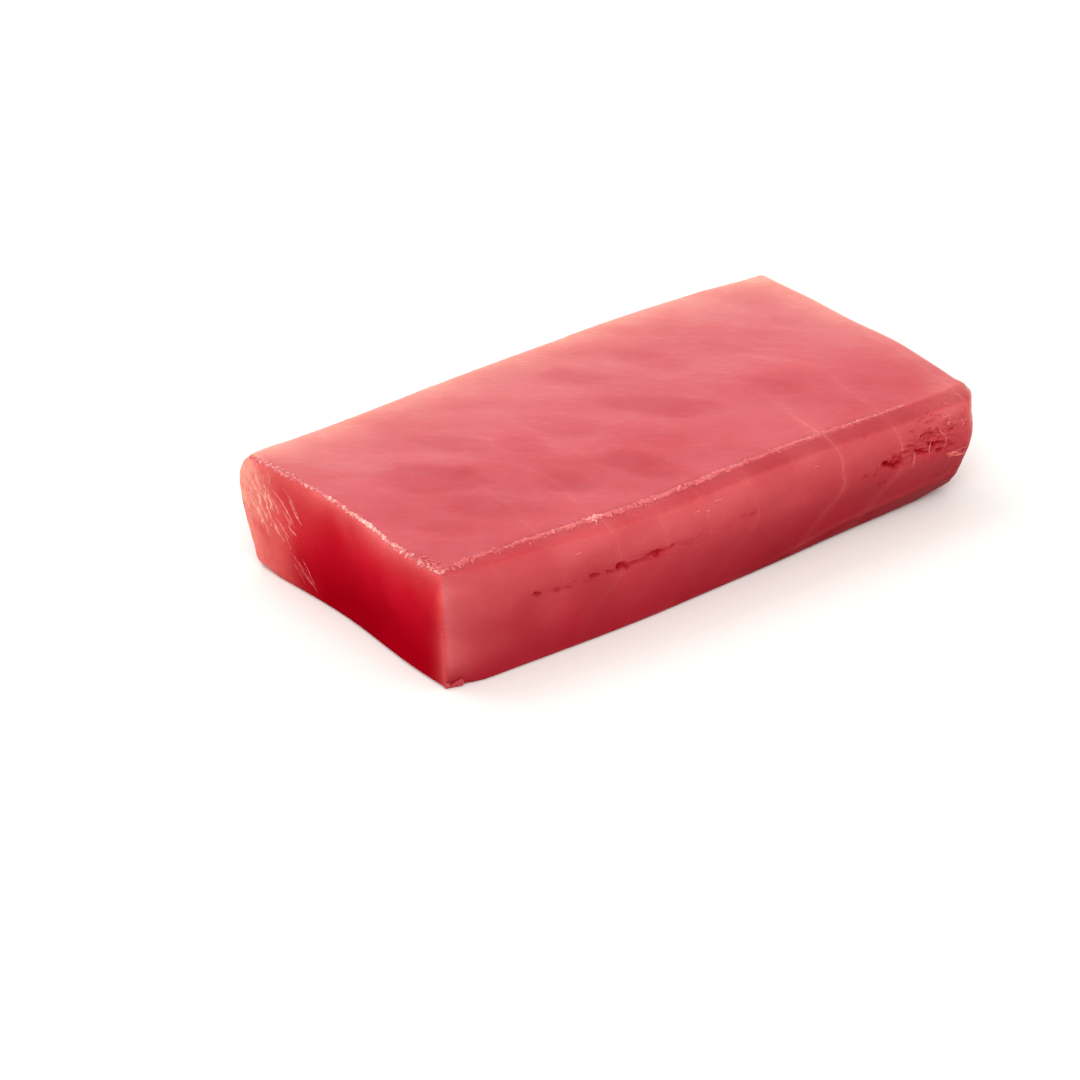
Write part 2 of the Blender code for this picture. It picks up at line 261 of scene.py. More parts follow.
# Where the layers of muscle part: place along X, height, length, opening, depth and slope in degrees
gaps = {
    "near": (
        (-58.7, 17.9, 4.6, 1.0, 1.8, 17), (-41.6, 17.4, 4.2, 1.1, 1.8, 12), (-33.0, 17.2, 4.6, 3.0, 3.2, 14),
        (-22.9, 17.5, 7.6, 1.9, 3.0, 2), (8.4, 18.3, 3.4, 1.0, 1.8, 16), (55.9, 18.4, 8.6, 2.9, 3.4, 8),
        (65.5, 18.6, 7.2, 1.4, 2.6, 13), (72.4, 16.9, 5.6, 1.2, 2.2, 13), (66.8, 23.0, 7.1, 1.0, 1.8, 10),
        # slighter ones, too fine for the solid
        (-52.6, 17.2, 3.2, 1.2, 1.5, 12), (-36.9, 16.8, 3.0, 1.0, 1.3, 16), (-17.6, 17.9, 3.8, 0.9, 1.3, -6),
        (5.4, 18.8, 2.8, 0.9, 1.4, 17), (47.2, 16.7, 8.0, 0.9, 1.1, 5), (59.0, 20.1, 7.4, 1.1, 1.6, 13),
        (70.5, 19.3, 7.3, 1.2, 2.2, 9), (69.2, 26.9, 2.8, 0.8, 0.9, 12), (53.9, 13.0, 2.2, 1.3, 0.8, 60),
        (46.0, 28.6, 1.8, 0.7, 0.7, 5), (65.0, 28.3, 4.8, 0.9, 0.8, 6), (75.5, 21.6, 3.4, 1.0, 1.4, 12),
        (60.8, 16.6, 3.2, 0.9, 0.9, 8), (73.6, 24.6, 3.0, 0.9, 1.0, 14), (-85.2, 12.8, 0.9, 0.9, 0.9, 0),
        (-85.3, 10.4, 0.8, 0.9, 0.9, 0), (-85.3, 7.0, 0.9, 0.8, 0.9, 0), (-80.5, 2.9, 1.1, 0.8, 0.8, 10),
        (-47.7, 8.2, 0.9, 0.8, 0.7, 0), (62.0, 25.4, 2.6, 0.8, 0.8, 14),
    ),
    "far": (
        (-49.0, 16.5, 8.0, 1.4, 2.4, 5), (-11.0, 18.0, 10.0, 2.0, 3.0, 3), (37.0, 15.8, 7.0, 1.4, 2.4, 7),
    ),
    # lines of short cracks on the near side: from place and height, to place and height, how many
    "crackLines": (
        (66.3, 29.0, 72.1, 27.2, 3), (62.1, 27.8, 69.9, 26.1, 4), (66.0, 24.4, 71.0, 23.4, 3),
        (64.3, 22.8, 72.3, 20.8, 6), (66.3, 20.4, 75.5, 18.4, 7), (70.3, 17.4, 77.6, 16.9, 6),
        (60.7, 19.6, 65.1, 18.4, 3), (49.5, 17.6, 60.0, 17.9, 4), (44.9, 16.9, 51.5, 16.2, 4),
        (51.6, 13.5, 54.5, 12.8, 2), (60.0, 21.6, 64.0, 21.0, 3), (-55.0, 17.3, -47.5, 16.8, 3),
        (-39.0, 16.4, -27.0, 17.4, 4), (1.5, 18.9, 6.5, 18.4, 3),
    ),
    "crackLengths": (0.9, 2.8), "crackOpenings": (0.5, 0.85), "crackDepths": (0.9, 1.5),
    "crackSlopes": (11, 4), "crackStray": 0.15,  # slopes: mean and spread; stray: from the line
    "ragged": 0.75,  # how far noise bends a gap's edge, as a share of its opening
    "bends": (0.7, 0.5), "bendSizes": (1.5, 1.1), "streaky": (0.4, 1.0, 1.0),  # the first runs along X
    "pits": (0.75, 0.6, 1.0),  # mean, strength and size of the pits in the floor
    "width": 0.7,  # of the opening above, once the gap's own ragged edge is added
    "tip": 0.4,  # how wide it is at the tips, as a share of its middle
    "bowl": 0.55, "fullDepth": 2.2, "leastShade": 0.4,  # gaps of the full depth or more are shaded fully
    "shadeEdge": 1.5, "lip": 0.12, "lipPlace": 1.3, "lipWidth": 0.3,  # in half widths from the middle
}


# The short cracks in the same form as the gaps, thrown at random along their lines.
def crackDashes():
    draw = np.random.default_rng(140)
    dashes = []
    for startX, startZ, endX, endZ, count in gaps["crackLines"]:
        for share in (np.arange(count) + draw.uniform(0.1, 0.9, count)) / count:
            x = mixed(startX, endX, share)
            z = mixed(startZ, endZ, share) + draw.normal(0.0, gaps["crackStray"])
            size = [draw.uniform(*gaps[key]) for key in ("crackLengths", "crackOpenings", "crackDepths")]
            dashes.append((x, z, *size, draw.normal(*gaps["crackSlopes"])))
    return tuple(dashes)


# Painted shade in the gaps at each place of a side, 0 to 1, fuller in deeper gaps, and the height they add. A
# gap is a bowl over an ellipse that narrows towards its ends. Noise bends its edge and breaks its floor into
# pits.
def gapRelief(points, barPoints):
    g = gaps
    pitMean, pitStrength, pitSize = g["pits"]
    share = np.zeros(len(points))
    height = np.zeros(len(points))
    for side, sign in (("near", -1.0), ("far", 1.0)):
        onSide = barPoints[:, 1] * sign > halfWidth - 1e-6
        places = points[onSide]
        streaky = places * np.array(g["streaky"])
        bend = g["bends"][0] * roughNoise(streaky, g["bendSizes"][0], 41, 3)
        bend = bend + g["bends"][1] * roughNoise(places, g["bendSizes"][1], 47, 2)
        pits = pitMean + pitStrength * cloudNoise(streaky, pitSize, 45)
        sideGapShade = np.zeros(len(places))
        sideShadeHeight = np.zeros(len(places))
        cracks = crackDashes() if side == "near" else ()
        for x, z, length, opening, depth, slope in g[side] + cracks:
            middle = blockSurface(np.array(((x, sign * halfWidth, z),)))[0]
            along, across = turned(places[:, 0] - middle[0], places[:, 2] - middle[2], -slope)
            across = across + g["ragged"] * opening * bend
            along = along / (0.5 * length)
            reach = 0.5 * g["width"] * opening * mixed(g["tip"], 1.0, np.clip(1.0 - along**2, 0.0, 1.0))
            size = np.hypot(along, across / reach)
            bowl = np.sqrt(np.clip(1.0 - size**2, 0.0, 1.0)) * pits
            deep = np.clip(depth / g["fullDepth"], g["leastShade"], 1.0)
            shade = smoothStep(g["shadeEdge"] - size) * deep * np.clip(0.5 + 0.5 * pits, 0.0, 1.0)
            sideGapShade = np.maximum(sideGapShade, shade)
            lip = g["lip"] * deep * hump(size - g["lipPlace"], g["lipWidth"])
            sideShadeHeight += lip - g["bowl"] * depth * bowl
        share[onSide] = sideGapShade
        height[onSide] = sideShadeHeight
    return share, height


# Darker patches of muscle that show through the top: middle, half length, half width, turn in degrees
islands = {
    "patches": (
        (-59, 3, 15, 8, -47), (-34, -21, 8, 6, -66), (12, -2, 15, 6, -54), (20, -10, 6.5, 4.5, -83),
        (-14, 4, 10, 5, -58), (-30, 2, 7, 4, -58), (-13, -24, 10, 5.5, -65), (42, -10, 10, 5, -59),
        (28, 20, 10, 4.5, -57), (-56, -20, 12, 6, -55), (70, 16, 4, 3, -66), (-44, 14, 11, 4, -53),
        (-72, -22, 7, 4, -50), (5, 24, 9, 4, -50),
    ),
    "strengths": (1.0, 0.8, 0.8, 0.6, 0.5, 0.6, 0.8, 0.7, 0.5, 0.6, 0.4, 0.6, 0.4, 0.4),
    "ragged": 0.55, "raggedSize": 6.0, "streaky": 0.45,  # noise that bends their edges along the grain
    "softness": 0.75, "rimPlace": 1.2, "rimWidth": 0.06, "rimSize": 3.0,
}


# How dark each place of the top is from the patches, and how near it lies to their rims, both 0 to 1. A
# patch is an ellipse whose edge is bent by noise. Only the rim on its lower right stands out.
def islandShares(points):
    s = islands
    x, y = points[:, 0], points[:, 1]
    along, across = turned(x, y, grainTurn)
    bend = s["ragged"] * roughNoise(levelPoints(s["streaky"] * along, across), s["raggedSize"], 121, 4)
    dark = np.zeros_like(x)
    rim = np.zeros_like(x)
    for (middleX, middleY, length, width, degrees), strength in zip(s["patches"], s["strengths"]):
        along, across = turned(x - middleX, y - middleY, degrees)
        along = along / length
        across = across / width
        size = np.hypot(along, across) + bend
        dark = np.maximum(dark, strength * smoothStep((1.0 - size) / s["softness"] + 0.5))
        ring = hump(size - s["rimPlace"], s["rimWidth"]) * smoothStep(0.6 * along - across)
        rim = np.maximum(rim, strength * ring)
    return dark, rim * np.clip(0.5 + 0.9 * cloudNoise(points, s["rimSize"], 125), 0.0, 1.0)


# The fine relief. Pairs are where an easy climb starts and how long it runs.
relief = {
    "dents": 0.11, "dentSize": 8.0,
    "grain": 0.035, "grainSize": 1.9,
    "offFloor": (0.2, 1.6), "topFace": (29.5, 1.0), "nearFace": (38.0, 2.0), "cutFace": (-0.8, 0.8),
    "septumRise": 0.07, "septumWidth": 0.7,
    "crags": 0.45, "cragSize": 2.4, "cragAlong": (66, 16), "cragAside": (30, 9),  # by the far end's near side
    "crest": 0.16, "crestWidth": 0.7, "crestReach": 1.02,  # raised line along the two trimmed edges
    "crestFades": ((-66, 22), (-86, 1)),  # from the far end, counted backwards, and from the cut end
    "knife": 0.05, "knifeSize": 1.6,
    "footLine": 0.10, "footWidth": 0.45,  # a crease along the foot, higher towards the far end
    "footLow": 1.0, "footClimb": 5.0, "footRun": (5, 65),
    # small nicks in the top face, all along the grain: place, length, depth
    "nicks": (
        (51.5, 19.2, 3, 0.16), (55.2, 6.4, 8.6, 0.22), (33, 18, 12, 0.16), (29.8, 8.2, 3, 0.2),
        (22, -2.6, 7, 0.12), (8, -8.4, 10, 0.16), (9.5, 17.7, 5, 0.12), (-40.4, 32.5, 2.6, 0.18),
        (-36.5, 29.4, 2.2, 0.12), (-16, 20.4, 3.4, 0.26), (-42, 22.4, 11, 0.10), (-37, 13.8, 5, 0.14),
        (-44.2, 12.7, 3.2, 0.14), (-68.1, -3.7, 2.6, 0.24), (-19.4, -10.2, 3.2, 0.22), (67, 13, 2.4, 0.2),
        (-60, 6, 6, 0.10), (-52, -18, 4, 0.12), (-3, 30, 5, 0.12), (40, -4, 5, 0.10),
        (70, -12, 4, 0.12), (-71, 20, 5, 0.10), (-30, -27, 4, 0.10), (2, -31, 3, 0.12),
    ),
    "nickBow": 0.12, "nickReach": 0.42,
    "nickProfile": ((0.7, -0.45, 0.6), (-1.0, 0.35, 0.45)),  # lip and groove: height, place, spread
}


# Height of the crease along the foot of the near side
def footTop(x):
    return relief["footLow"] + relief["footClimb"] * rise(x, *relief["footRun"])


# Where the long crest runs, across the bar: the upper edge of the bevel.
def crestLine(x):
    return -halfWidth + relief["crestReach"] * bevelAt(x)


# How strongly the crest stands up along the block: it fades out towards the far end, and at the cut end.
def crestGain(x):
    fromFarEnd, fromCutEnd = relief["crestFades"]
    return rise(-x, *fromFarEnd) * rise(x, *fromCutEnd)


# Distances from the two crests, measured on the squared bar.
def crestDistances(barPoints):
    x, y, z = barPoints.T
    below = bar["height"] - z
    longCrest = np.hypot(y - crestLine(x), below)
    cutCrest = np.hypot(x + halfLength - 0.5, below)
    return longCrest, cutCrest


# Everything that stands out of the smooth block, as a height along its normals.
def reliefHeight(points, barPoints):
    r = relief
    x, y, z = points.T
    height = r["dents"] * roughNoise(points, r["dentSize"], 11, 3)
    height = height + r["grain"] * cloudNoise(points, r["grainSize"], 15)
    phase = septumPhase(points)
    away = np.abs(phase - np.round(phase)) * septa["spacing"]
    onCut = rise(-barPoints[:, 0] - halfLength, *r["cutFace"])
    height += r["septumRise"] * hump(away, r["septumWidth"]) * (1.0 - onCut)
    torn = rise(x, *r["cragAlong"]) * rise(-y, *r["cragAside"])
    height += r["crags"] * torn * (np.abs(roughNoise(points, r["cragSize"], 51, 3)) - 0.22)
    longCrest, cutCrest = crestDistances(barPoints)
    ragged = 0.6 + 0.6 * cloudNoise(points, 1.1, 61)
    height += r["crest"] * crestGain(barPoints[:, 0]) * hump(longCrest, r["crestWidth"]) * ragged
    height += 0.7 * r["crest"] * hump(cutCrest, 0.6 * r["crestWidth"]) * ragged
    drag = points * np.array((1.0, 1.0, 0.25))
    height += r["knife"] * onCut * roughNoise(drag, r["knifeSize"], 71, 2)
    fromFoot = z - footTop(x) - 0.4 - 0.3 * cloudNoise(points, 7.0, 81)
    height -= r["footLine"] * rise(-y, *r["nearFace"]) * hump(fromFoot, r["footWidth"])
    top = rise(z, *r["topFace"])
    for nickX, nickY, length, depth in r["nicks"]:
        along, across = turned(x - nickX, y - nickY, grainTurn)
        across = across + r["nickBow"] * along**2 / length
        inside = hump(along, r["nickReach"] * length)
        profile = sum(size * hump(across - place, spread) for size, place, spread in r["nickProfile"])
        height += top * depth * inside * profile
    return height * rise(z, *r["offFloor"])


# Lines of the skin's grid across one side. A table of (place, step) pairs gives how far apart they lie at
# each place.
def gridLines(low, high, steps):
    fine = np.linspace(low, high, 4001)
    places, sizes = np.array(steps, float).T
    counted = np.cumsum(np.diff(fine) / np.interp(fine[1:], places, sizes))
    counted = np.concatenate(((0.0,), counted))
    return np.interp(np.linspace(0.0, counted[-1], round(counted[-1]) + 1), counted, fine)


# The four-sided faces between the points of a sheet, from the points' numbers in rows and columns.
def sheetFaces(number):
    corners = (number[:-1, :-1], number[1:, :-1], number[1:, 1:], number[:-1, 1:])
    return np.stack(corners, axis=-1).reshape(-1, 4)


# The surface of a box of grid lines as points and four-sided faces: six sheets that share their edge points.
def boxGrid(xs, ys, zs):
    onSurface = np.zeros((len(xs), len(ys), len(zs)), bool)
    onSurface[[0, -1]] = True
    onSurface[:, [0, -1]] = True
    onSurface[:, :, [0, -1]] = True
    number = np.full(onSurface.shape, -1)
    number[onSurface] = np.arange(onSurface.sum())
    i, j, k = np.argwhere(onSurface).T
    points = np.column_stack((xs[i], ys[j], zs[k]))
    faces = []
    for axis, end in itertools.product(range(3), (0, -1)):
        sheet = np.take(number, end, axis=axis)
        quads = sheetFaces(sheet)
        turnedOver = (end == 0) != (axis == 1)
        faces.append(quads[:, ::-1] if turnedOver else quads)
    return points, np.concatenate(faces)


# The mean direction of the faces round each point, each counted by its area.
def pointNormals(points, faces):
    corners = points[faces]
    outward = np.cross(corners[:, 2] - corners[:, 0], corners[:, 3] - corners[:, 1])
    total = np.zeros_like(points)
    for corner in range(4):
        for axis in range(3):
            total[:, axis] += np.bincount(faces[:, corner], weights=outward[:, axis], minlength=len(points))
    return total / np.linalg.norm(total, axis=1, keepdims=True)


# A mesh object from points in millimetres, faces, and values that its material reads at each point.
def meshObject(name, points, faces, material, values):
    mesh = bpy.data.meshes.new(name)
    mesh.from_pydata((points * mm).tolist(), [], faces.tolist())
    mesh.polygons.foreach_set("use_smooth", np.ones(len(faces), bool))
    for key, value in values.items():
        attribute = mesh.attributes.new(key, "FLOAT", "POINT")
        attribute.data.foreach_set("value", np.asarray(value, np.float32))
    mesh.materials.append(material)
    mesh.update()
    piece = bpy.data.objects.new(name, mesh)
    bpy.context.scene.collection.objects.link(piece)
    return piece


# Small helpers for materials

def addNode(tree, kind, **settings):
    node = tree.nodes.new(kind)
    for key, value in settings.items():
        setattr(node, key, value)
    return node


# Gives a socket a link, a plain value, or, for a name, the value that the mesh holds under it.
def feed(tree, socket, value):
    if isinstance(value, str):
        value = addNode(tree, "ShaderNodeAttribute", attribute_name=value).outputs["Fac"]
    if isinstance(value, bpy.types.NodeSocket):
        tree.links.new(value, socket)
    else:
        socket.default_value = value


def numbers(tree, operation, *values, clamp=False):
    node = addNode(tree, "ShaderNodeMath", operation=operation, use_clamp=clamp)
    for socket, value in zip(node.inputs, values):
        feed(tree, socket, value)
    return node.outputs[0]


def product(tree, first, *others):
    for other in others:
        first = numbers(tree, "MULTIPLY", first, other)
    return first


def without(tree, value):
    return numbers(tree, "SUBTRACT", 1.0, value)


def mixColour(tree, share, low, high, blend="MIX"):
    node = addNode(tree, "ShaderNodeMix", data_type="RGBA", blend_type=blend)
    feed(tree, node.inputs[0], share)
    feed(tree, node.inputs[6], low)
    feed(tree, node.inputs[7], high)
    return node.outputs[2]


# Reads a value between two limits as 0 to 1, or as the two results given.
def ramp(tree, value, low, high, first=0.0, last=1.0):
    node = addNode(tree, "ShaderNodeMapRange", interpolation_type="SMOOTHSTEP")
    for socket, number in zip(node.inputs, (value, low, high, first, last)):
        feed(tree, socket, number)
    return node.outputs[0]


def noiseValue(tree, vector, scale, detail, roughness=0.5, stretch=None):
    if stretch:
        mapping = addNode(tree, "ShaderNodeMapping", vector_type="TEXTURE")
        feed(tree, mapping.inputs["Vector"], vector)
        mapping.inputs["Rotation"].default_value = stretch["turn"]
        mapping.inputs["Scale"].default_value = stretch["scale"]
        vector = mapping.outputs[0]
    node = addNode(tree, "ShaderNodeTexNoise")
    feed(tree, node.inputs["Vector"], vector)
    node.inputs["Scale"].default_value = scale
    node.inputs["Detail"].default_value = detail
    node.inputs["Roughness"].default_value = roughness
    return node.outputs["Fac"]


def groupInput(tree, name, kind, value):
    socket = tree.interface.new_socket(name, in_out="INPUT", socket_type=kind)
    socket.default_value = value


# Each noise is its scale, detail and roughness, and each range is where it is read as 0 and as 1.
moistLook = {
    "fibreStretch": 3.4, "clouds": (72.0, 1.6, 0.45), "grain": (900.0, 3.0, 0.6), "wet": (150.0, 4.0, 0.6),
    "cloudRange": (0.36, 0.62), "grainRange": (0.50, 0.72), "wetRange": (0.38, 0.62),
    "palerTint": (1.16, 1.55, 1.45, 1.0), "darkerTint": (0.84, 0.55, 0.60, 1.0),
    "speckTint": (1.05, 1.20, 1.17, 1.0),
}


# Moist raw flesh, shared by all of the block's materials: its mottled colour, its roughness and its fine
# relief.
def moistFleshGroup():
    look = moistLook
    tree = bpy.data.node_groups.new("moistFlesh", "ShaderNodeTree")
    groupInput(tree, "Colour", "NodeSocketColor", (0.6, 0.06, 0.08, 1.0))
    groupInput(tree, "Mottling", "NodeSocketFloat", 0.2)
    groupInput(tree, "Dry Roughness", "NodeSocketFloat", 0.45)
    groupInput(tree, "Wet Roughness", "NodeSocketFloat", 0.28)
    for name, kind in (("Colour", "Color"), ("Roughness", "Float"), ("Height", "Float")):
        tree.interface.new_socket(name, in_out="OUTPUT", socket_type="NodeSocket" + kind)
    given = addNode(tree, "NodeGroupInput").outputs
    place = addNode(tree, "ShaderNodeTexCoord").outputs["Object"]
    along = {"turn": (0.0, 0.0, math.radians(grainTurn)), "scale": (look["fibreStretch"], 1.0, 1.0)}
    clouds = noiseValue(tree, place, *look["clouds"], along)
    grain = noiseValue(tree, place, *look["grain"], along)
    wet = noiseValue(tree, place, *look["wet"])
    paler = mixColour(tree, 1.0, given["Colour"], look["palerTint"], "MULTIPLY")
    darker = mixColour(tree, 1.0, given["Colour"], look["darkerTint"], "MULTIPLY")
    mottled = mixColour(tree, ramp(tree, clouds, *look["cloudRange"]), darker, paler)
    colour = mixColour(tree, given["Mottling"], given["Colour"], mottled)
    speckled = mixColour(tree, 1.0, colour, look["speckTint"], "MULTIPLY")
    colour = mixColour(tree, ramp(tree, grain, *look["grainRange"]), colour, speckled)
    made = addNode(tree, "NodeGroupOutput").inputs
    feed(tree, made["Colour"], colour)
    roughness = addNode(tree, "ShaderNodeMix", data_type="FLOAT")
    feed(tree, roughness.inputs[0], ramp(tree, wet, *look["wetRange"]))
    feed(tree, roughness.inputs[2], given["Wet Roughness"])
    feed(tree, roughness.inputs[3], given["Dry Roughness"])
    feed(tree, made["Roughness"], roughness.outputs[0])
    feed(tree, made["Height"], numbers(tree, "MULTIPLY_ADD", wet, 0.5, numbers(tree, "MULTIPLY", grain, 0.5)))
    return tree


moistFlesh = moistFleshGroup()


# A new material with its Principled BSDF and the shared group, ready to be joined up.
def fleshMaterial(name, look):
    material = bpy.data.materials.new(name)
    material.use_nodes = True
    tree = material.node_tree
    shader = tree.nodes["Principled BSDF"]
    plain = {
        "IOR": "ior", "Coat IOR": "ior", "Specular IOR Level": "specular", "Coat Roughness": "coatRoughness",
        "Subsurface Weight": "subsurface", "Subsurface Radius": "subsurfaceRadius",
    }
    for socket, key in plain.items():
        shader.inputs[socket].default_value = look[key]
    shader.inputs["Subsurface Scale"].default_value = look["subsurfaceScale"] * mm
    moist = addNode(tree, "ShaderNodeGroup", node_tree=moistFlesh)
    shared = {"Mottling": "mottling", "Wet Roughness": "wetRoughness", "Dry Roughness": "dryRoughness"}
    for socket, key in shared.items():
        moist.inputs[socket].default_value = look[key]
    feed(tree, shader.inputs["Roughness"], moist.outputs["Roughness"])
    return material, tree, shader, moist


def addBump(tree, shader, height, distance):
    bump = addNode(tree, "ShaderNodeBump")
    bump.inputs["Distance"].default_value = distance * mm
    feed(tree, bump.inputs["Height"], height)
    feed(tree, shader.inputs["Normal"], bump.outputs["Normal"])


skinLook = {
    # the top is paler towards its far side: painted light coming through from behind
    "topNearColour": (0.50, 0.060, 0.077, 1.0),
    "topFarGlowColour": (0.545, 0.097, 0.114, 1.0),
    "islandTint": (0.88, 0.62, 0.68, 1.0), "rimTint": (1.15, 1.45, 1.4, 1.0),
    # the near side's colours darken from its top to its foot: painted shade
    "sideHighColour": (0.53, 0.058, 0.068, 1.0),
    "sideMidColour": (0.37, 0.018, 0.029, 1.0),
    "sideLowColour": (0.28, 0.0060, 0.0150, 1.0),
    # a painted shadow along the foot of the near side
    "footShadeColour": (0.17, 0.0014, 0.0060, 1.0),
    # the bevel strip below the long crest: painted shade
    "bevelShadeColour": (0.41, 0.040, 0.051, 1.0),
    "shadeColour": (0.38, 0.024, 0.036, 1.0),
    # the cut face: the deep red of a fresh cut, with painted shade that darkens it most at its foot
    "cutHighColour": (0.44, 0.0045, 0.0160, 1.0),
    "cutLowColour": (0.27, 0.0004, 0.0050, 1.0),
    # painted glow along the rims of the cut face
    "cutRimGlowColour": (0.62, 0.090, 0.092, 1.0),
    # painted light on the rounded upright edge
    "uprightLightColour": (0.50, 0.080, 0.088, 1.0),
    # painted glow where light comes through thin edges
    "thinGlowColour": (0.82, 0.315, 0.245, 1.0),
    # painted shade inside the gaps
    "gapShadeColour": (0.35, 0.0015, 0.009, 1.0),
    "streakColour": (0.23, 0.0005, 0.0050, 1.0),
    "septumColour": (0.72, 0.16, 0.16, 1.0),
    # pale flesh of the crests and flecks; along the crests it also stands in for a painted highlight
    "crestColour": (0.72, 0.18, 0.19, 1.0),
    "septumLine": 0.55, "septumBand": 0.13, "lineWidth": 0.42, "bandWidth": 3.0,
    "fleck": 0.4, "fleckScale": 95.0, "fleckRange": (0.02, 0.07), "fleckChoice": 0.64,
    "ior": 1.4, "specular": 0.0, "coat": 0.85, "coatRoughness": 0.22,
    "subsurface": 0.5, "subsurfaceRadius": (1.0, 0.22, 0.14), "subsurfaceScale": 3.0,
    "mottling": 0.24, "sideMottling": 0.40,
    "wetRoughness": 0.32, "dryRoughness": 0.46,
    "bump": 0.10, "lineBump": 0.25,
    # noises as scale, detail and roughness, and the ranges in which they are read
    "dabs": (330.0, 3.0, 0.6), "dabRange": (0.34, 0.60), "leastDab": 0.5,
    "broken": (210.0, 3.0), "brokenRange": (0.38, 0.58),
    "crestNoise": (900.0, 2.0), "crestRange": (0.36, 0.60),
    "streaks": (1100.0, 3.0, 0.6), "streakRange": (0.49, 0.58), "streakTurn": 11.0, "streakStretch": 5.0,
    "wetness": (90.0, 2.0), "wetnessRange": (0.2, 0.7), "leastWetness": 0.6,
}


# The skin's colour starts as the top's or the side's, with painted shade low on the side, at the foot and on
# the bevel, and painted light on the far part of the top and on the upright edge. It then takes the cut face
# with its painted shade and glow, the painted glow of thin edges, sheets, crests with their painted
# highlight, and the painted shade of the gaps on top of each other, each by a value that the mesh holds at
# its points.
def skinMaterial():
    look = skinLook
    material, tree, shader, moist = fleshMaterial("rawTunaFlesh", look)
    place = addNode(tree, "ShaderNodeTexCoord").outputs["Object"]
    # the near side darkens from its top to its foot: painted shade
    rising = ramp(tree, "sideShadeHeight", 0.04, 0.52)
    colour = mixColour(tree, rising, look["sideLowColour"], look["sideMidColour"])
    colour = mixColour(tree, ramp(tree, "sideShadeHeight", 0.42, 0.92), colour, look["sideHighColour"])
    # painted shade at the foot, a painted highlight along the crease above it, and painted light on the
    # rounded upright edge
    for share, over in (("footShadeShare", "footShade"), ("footRimHighlight", "sideHigh"), ("uprightLightShare", "uprightLight")):
        colour = mixColour(tree, share, colour, look[over + "Colour"])
    top = mixColour(tree, "farGlowShare", look["topNearColour"], look["topFarGlowColour"])
    for share, tint in (("islandShare", "islandTint"), ("islandRim", "rimTint")):
        top = mixColour(tree, share, top, mixColour(tree, 1.0, top, look[tint], "MULTIPLY"))
    colour = mixColour(tree, "topShare", colour, top)
    colour = mixColour(tree, "bevelShadeShare", colour, look["bevelShadeColour"])
    colour = mixColour(tree, "shadeShare", colour, look["shadeColour"])
    # the cut face darkens towards its foot and pales towards its far side: a fresh cut's deep red with
    # painted shade
    cutShadeHeight = ramp(tree, "cutShadeHeight", 0.15, 0.85)
    cutColour = mixColour(tree, cutShadeHeight, look["cutLowColour"], look["cutHighColour"])
    cutColour = mixColour(tree, "cutRimGlow", cutColour, look["cutRimGlowColour"])
    colour = mixColour(tree, "cutShare", colour, cutColour)
    dabs = ramp(tree, noiseValue(tree, place, *look["dabs"]), *look["dabRange"], look["leastDab"], 1.0)
    dabs = numbers(tree, "MAXIMUM", dabs, without(tree, "cutShare"))  # only on the cut face
    # painted glow of thin edges and of the cut face's far cheek
    colour = mixColour(tree, product(tree, "thinGlowShare", dabs), colour, look["thinGlowColour"])

    # sheets of connective tissue: a fine broken line inside a soft paler band
    phase = numbers(tree, "FRACT", numbers(tree, "ADD", "sheetPhase", 0.5))
    away = numbers(tree, "ABSOLUTE", numbers(tree, "SUBTRACT", phase, 0.5))
    away = product(tree, away, septa["spacing"])
    broken = ramp(tree, noiseValue(tree, place, *look["broken"]), *look["brokenRange"])
    line = ramp(tree, away, 0.0, look["lineWidth"], 1.0, 0.0)
    line = product(tree, line, broken, "sheetLine")
    band = ramp(tree, away, 0.0, look["bandWidth"], 1.0, 0.0)
    band = product(tree, band, look["septumBand"], "sheetBand")
    strength = numbers(tree, "MULTIPLY_ADD", line, look["septumLine"], band, clamp=True)
    colour = mixColour(tree, strength, colour, look["septumColour"])

    # a few pale flecks
    flecks = addNode(tree, "ShaderNodeTexVoronoi")
    flecks.inputs["Scale"].default_value = look["fleckScale"]
    feed(tree, flecks.inputs["Vector"], place)
    spot = ramp(tree, flecks.outputs["Distance"], *look["fleckRange"], 1.0, 0.0)
    chosen = numbers(tree, "GREATER_THAN", noiseValue(tree, place, 47.0, 1.0), look["fleckChoice"])
    fleck = product(tree, spot, chosen, look["fleck"], without(tree, "cutShare"))
    colour = mixColour(tree, fleck, colour, look["crestColour"])

    # along the crests: pale frayed flesh and a painted highlight
    crest = ramp(tree, noiseValue(tree, place, *look["crestNoise"]), *look["crestRange"])
    crest = product(tree, "crestPaleAndHighlight", crest)
    colour = mixColour(tree, crest, colour, look["crestColour"])

    # fine deep red streaks where the layers part
    lying = {"turn": (0.0, math.radians(look["streakTurn"]), 0.0), "scale": (look["streakStretch"], 1.0, 1.0)}
    streak = ramp(tree, noiseValue(tree, place, *look["streaks"], lying), *look["streakRange"])
    streak = product(tree, streak, "streakShare")
    colour = mixColour(tree, streak, colour, look["streakColour"])
    # painted shade inside the gaps
    colour = mixColour(tree, "gapShadeShare", colour, look["gapShadeColour"])
    feed(tree, moist.inputs["Colour"], colour)
    mottling = ramp(tree, "topShare", 0.0, 1.0, look["sideMottling"], look["mottling"])
    feed(tree, moist.inputs["Mottling"], mottling)
    feed(tree, shader.inputs["Base Color"], moist.outputs["Colour"])
    wetness = noiseValue(tree, place, *look["wetness"])
    wetness = ramp(tree, wetness, *look["wetnessRange"], look["leastWetness"], 1.0)
    wetness = product(tree, wetness, look["coat"], "wetShare")
    feed(tree, shader.inputs["Coat Weight"], wetness)
    height = numbers(tree, "MULTIPLY_ADD", line, look["lineBump"], moist.outputs["Height"])
    addBump(tree, shader, height, look["bump"])
    return material


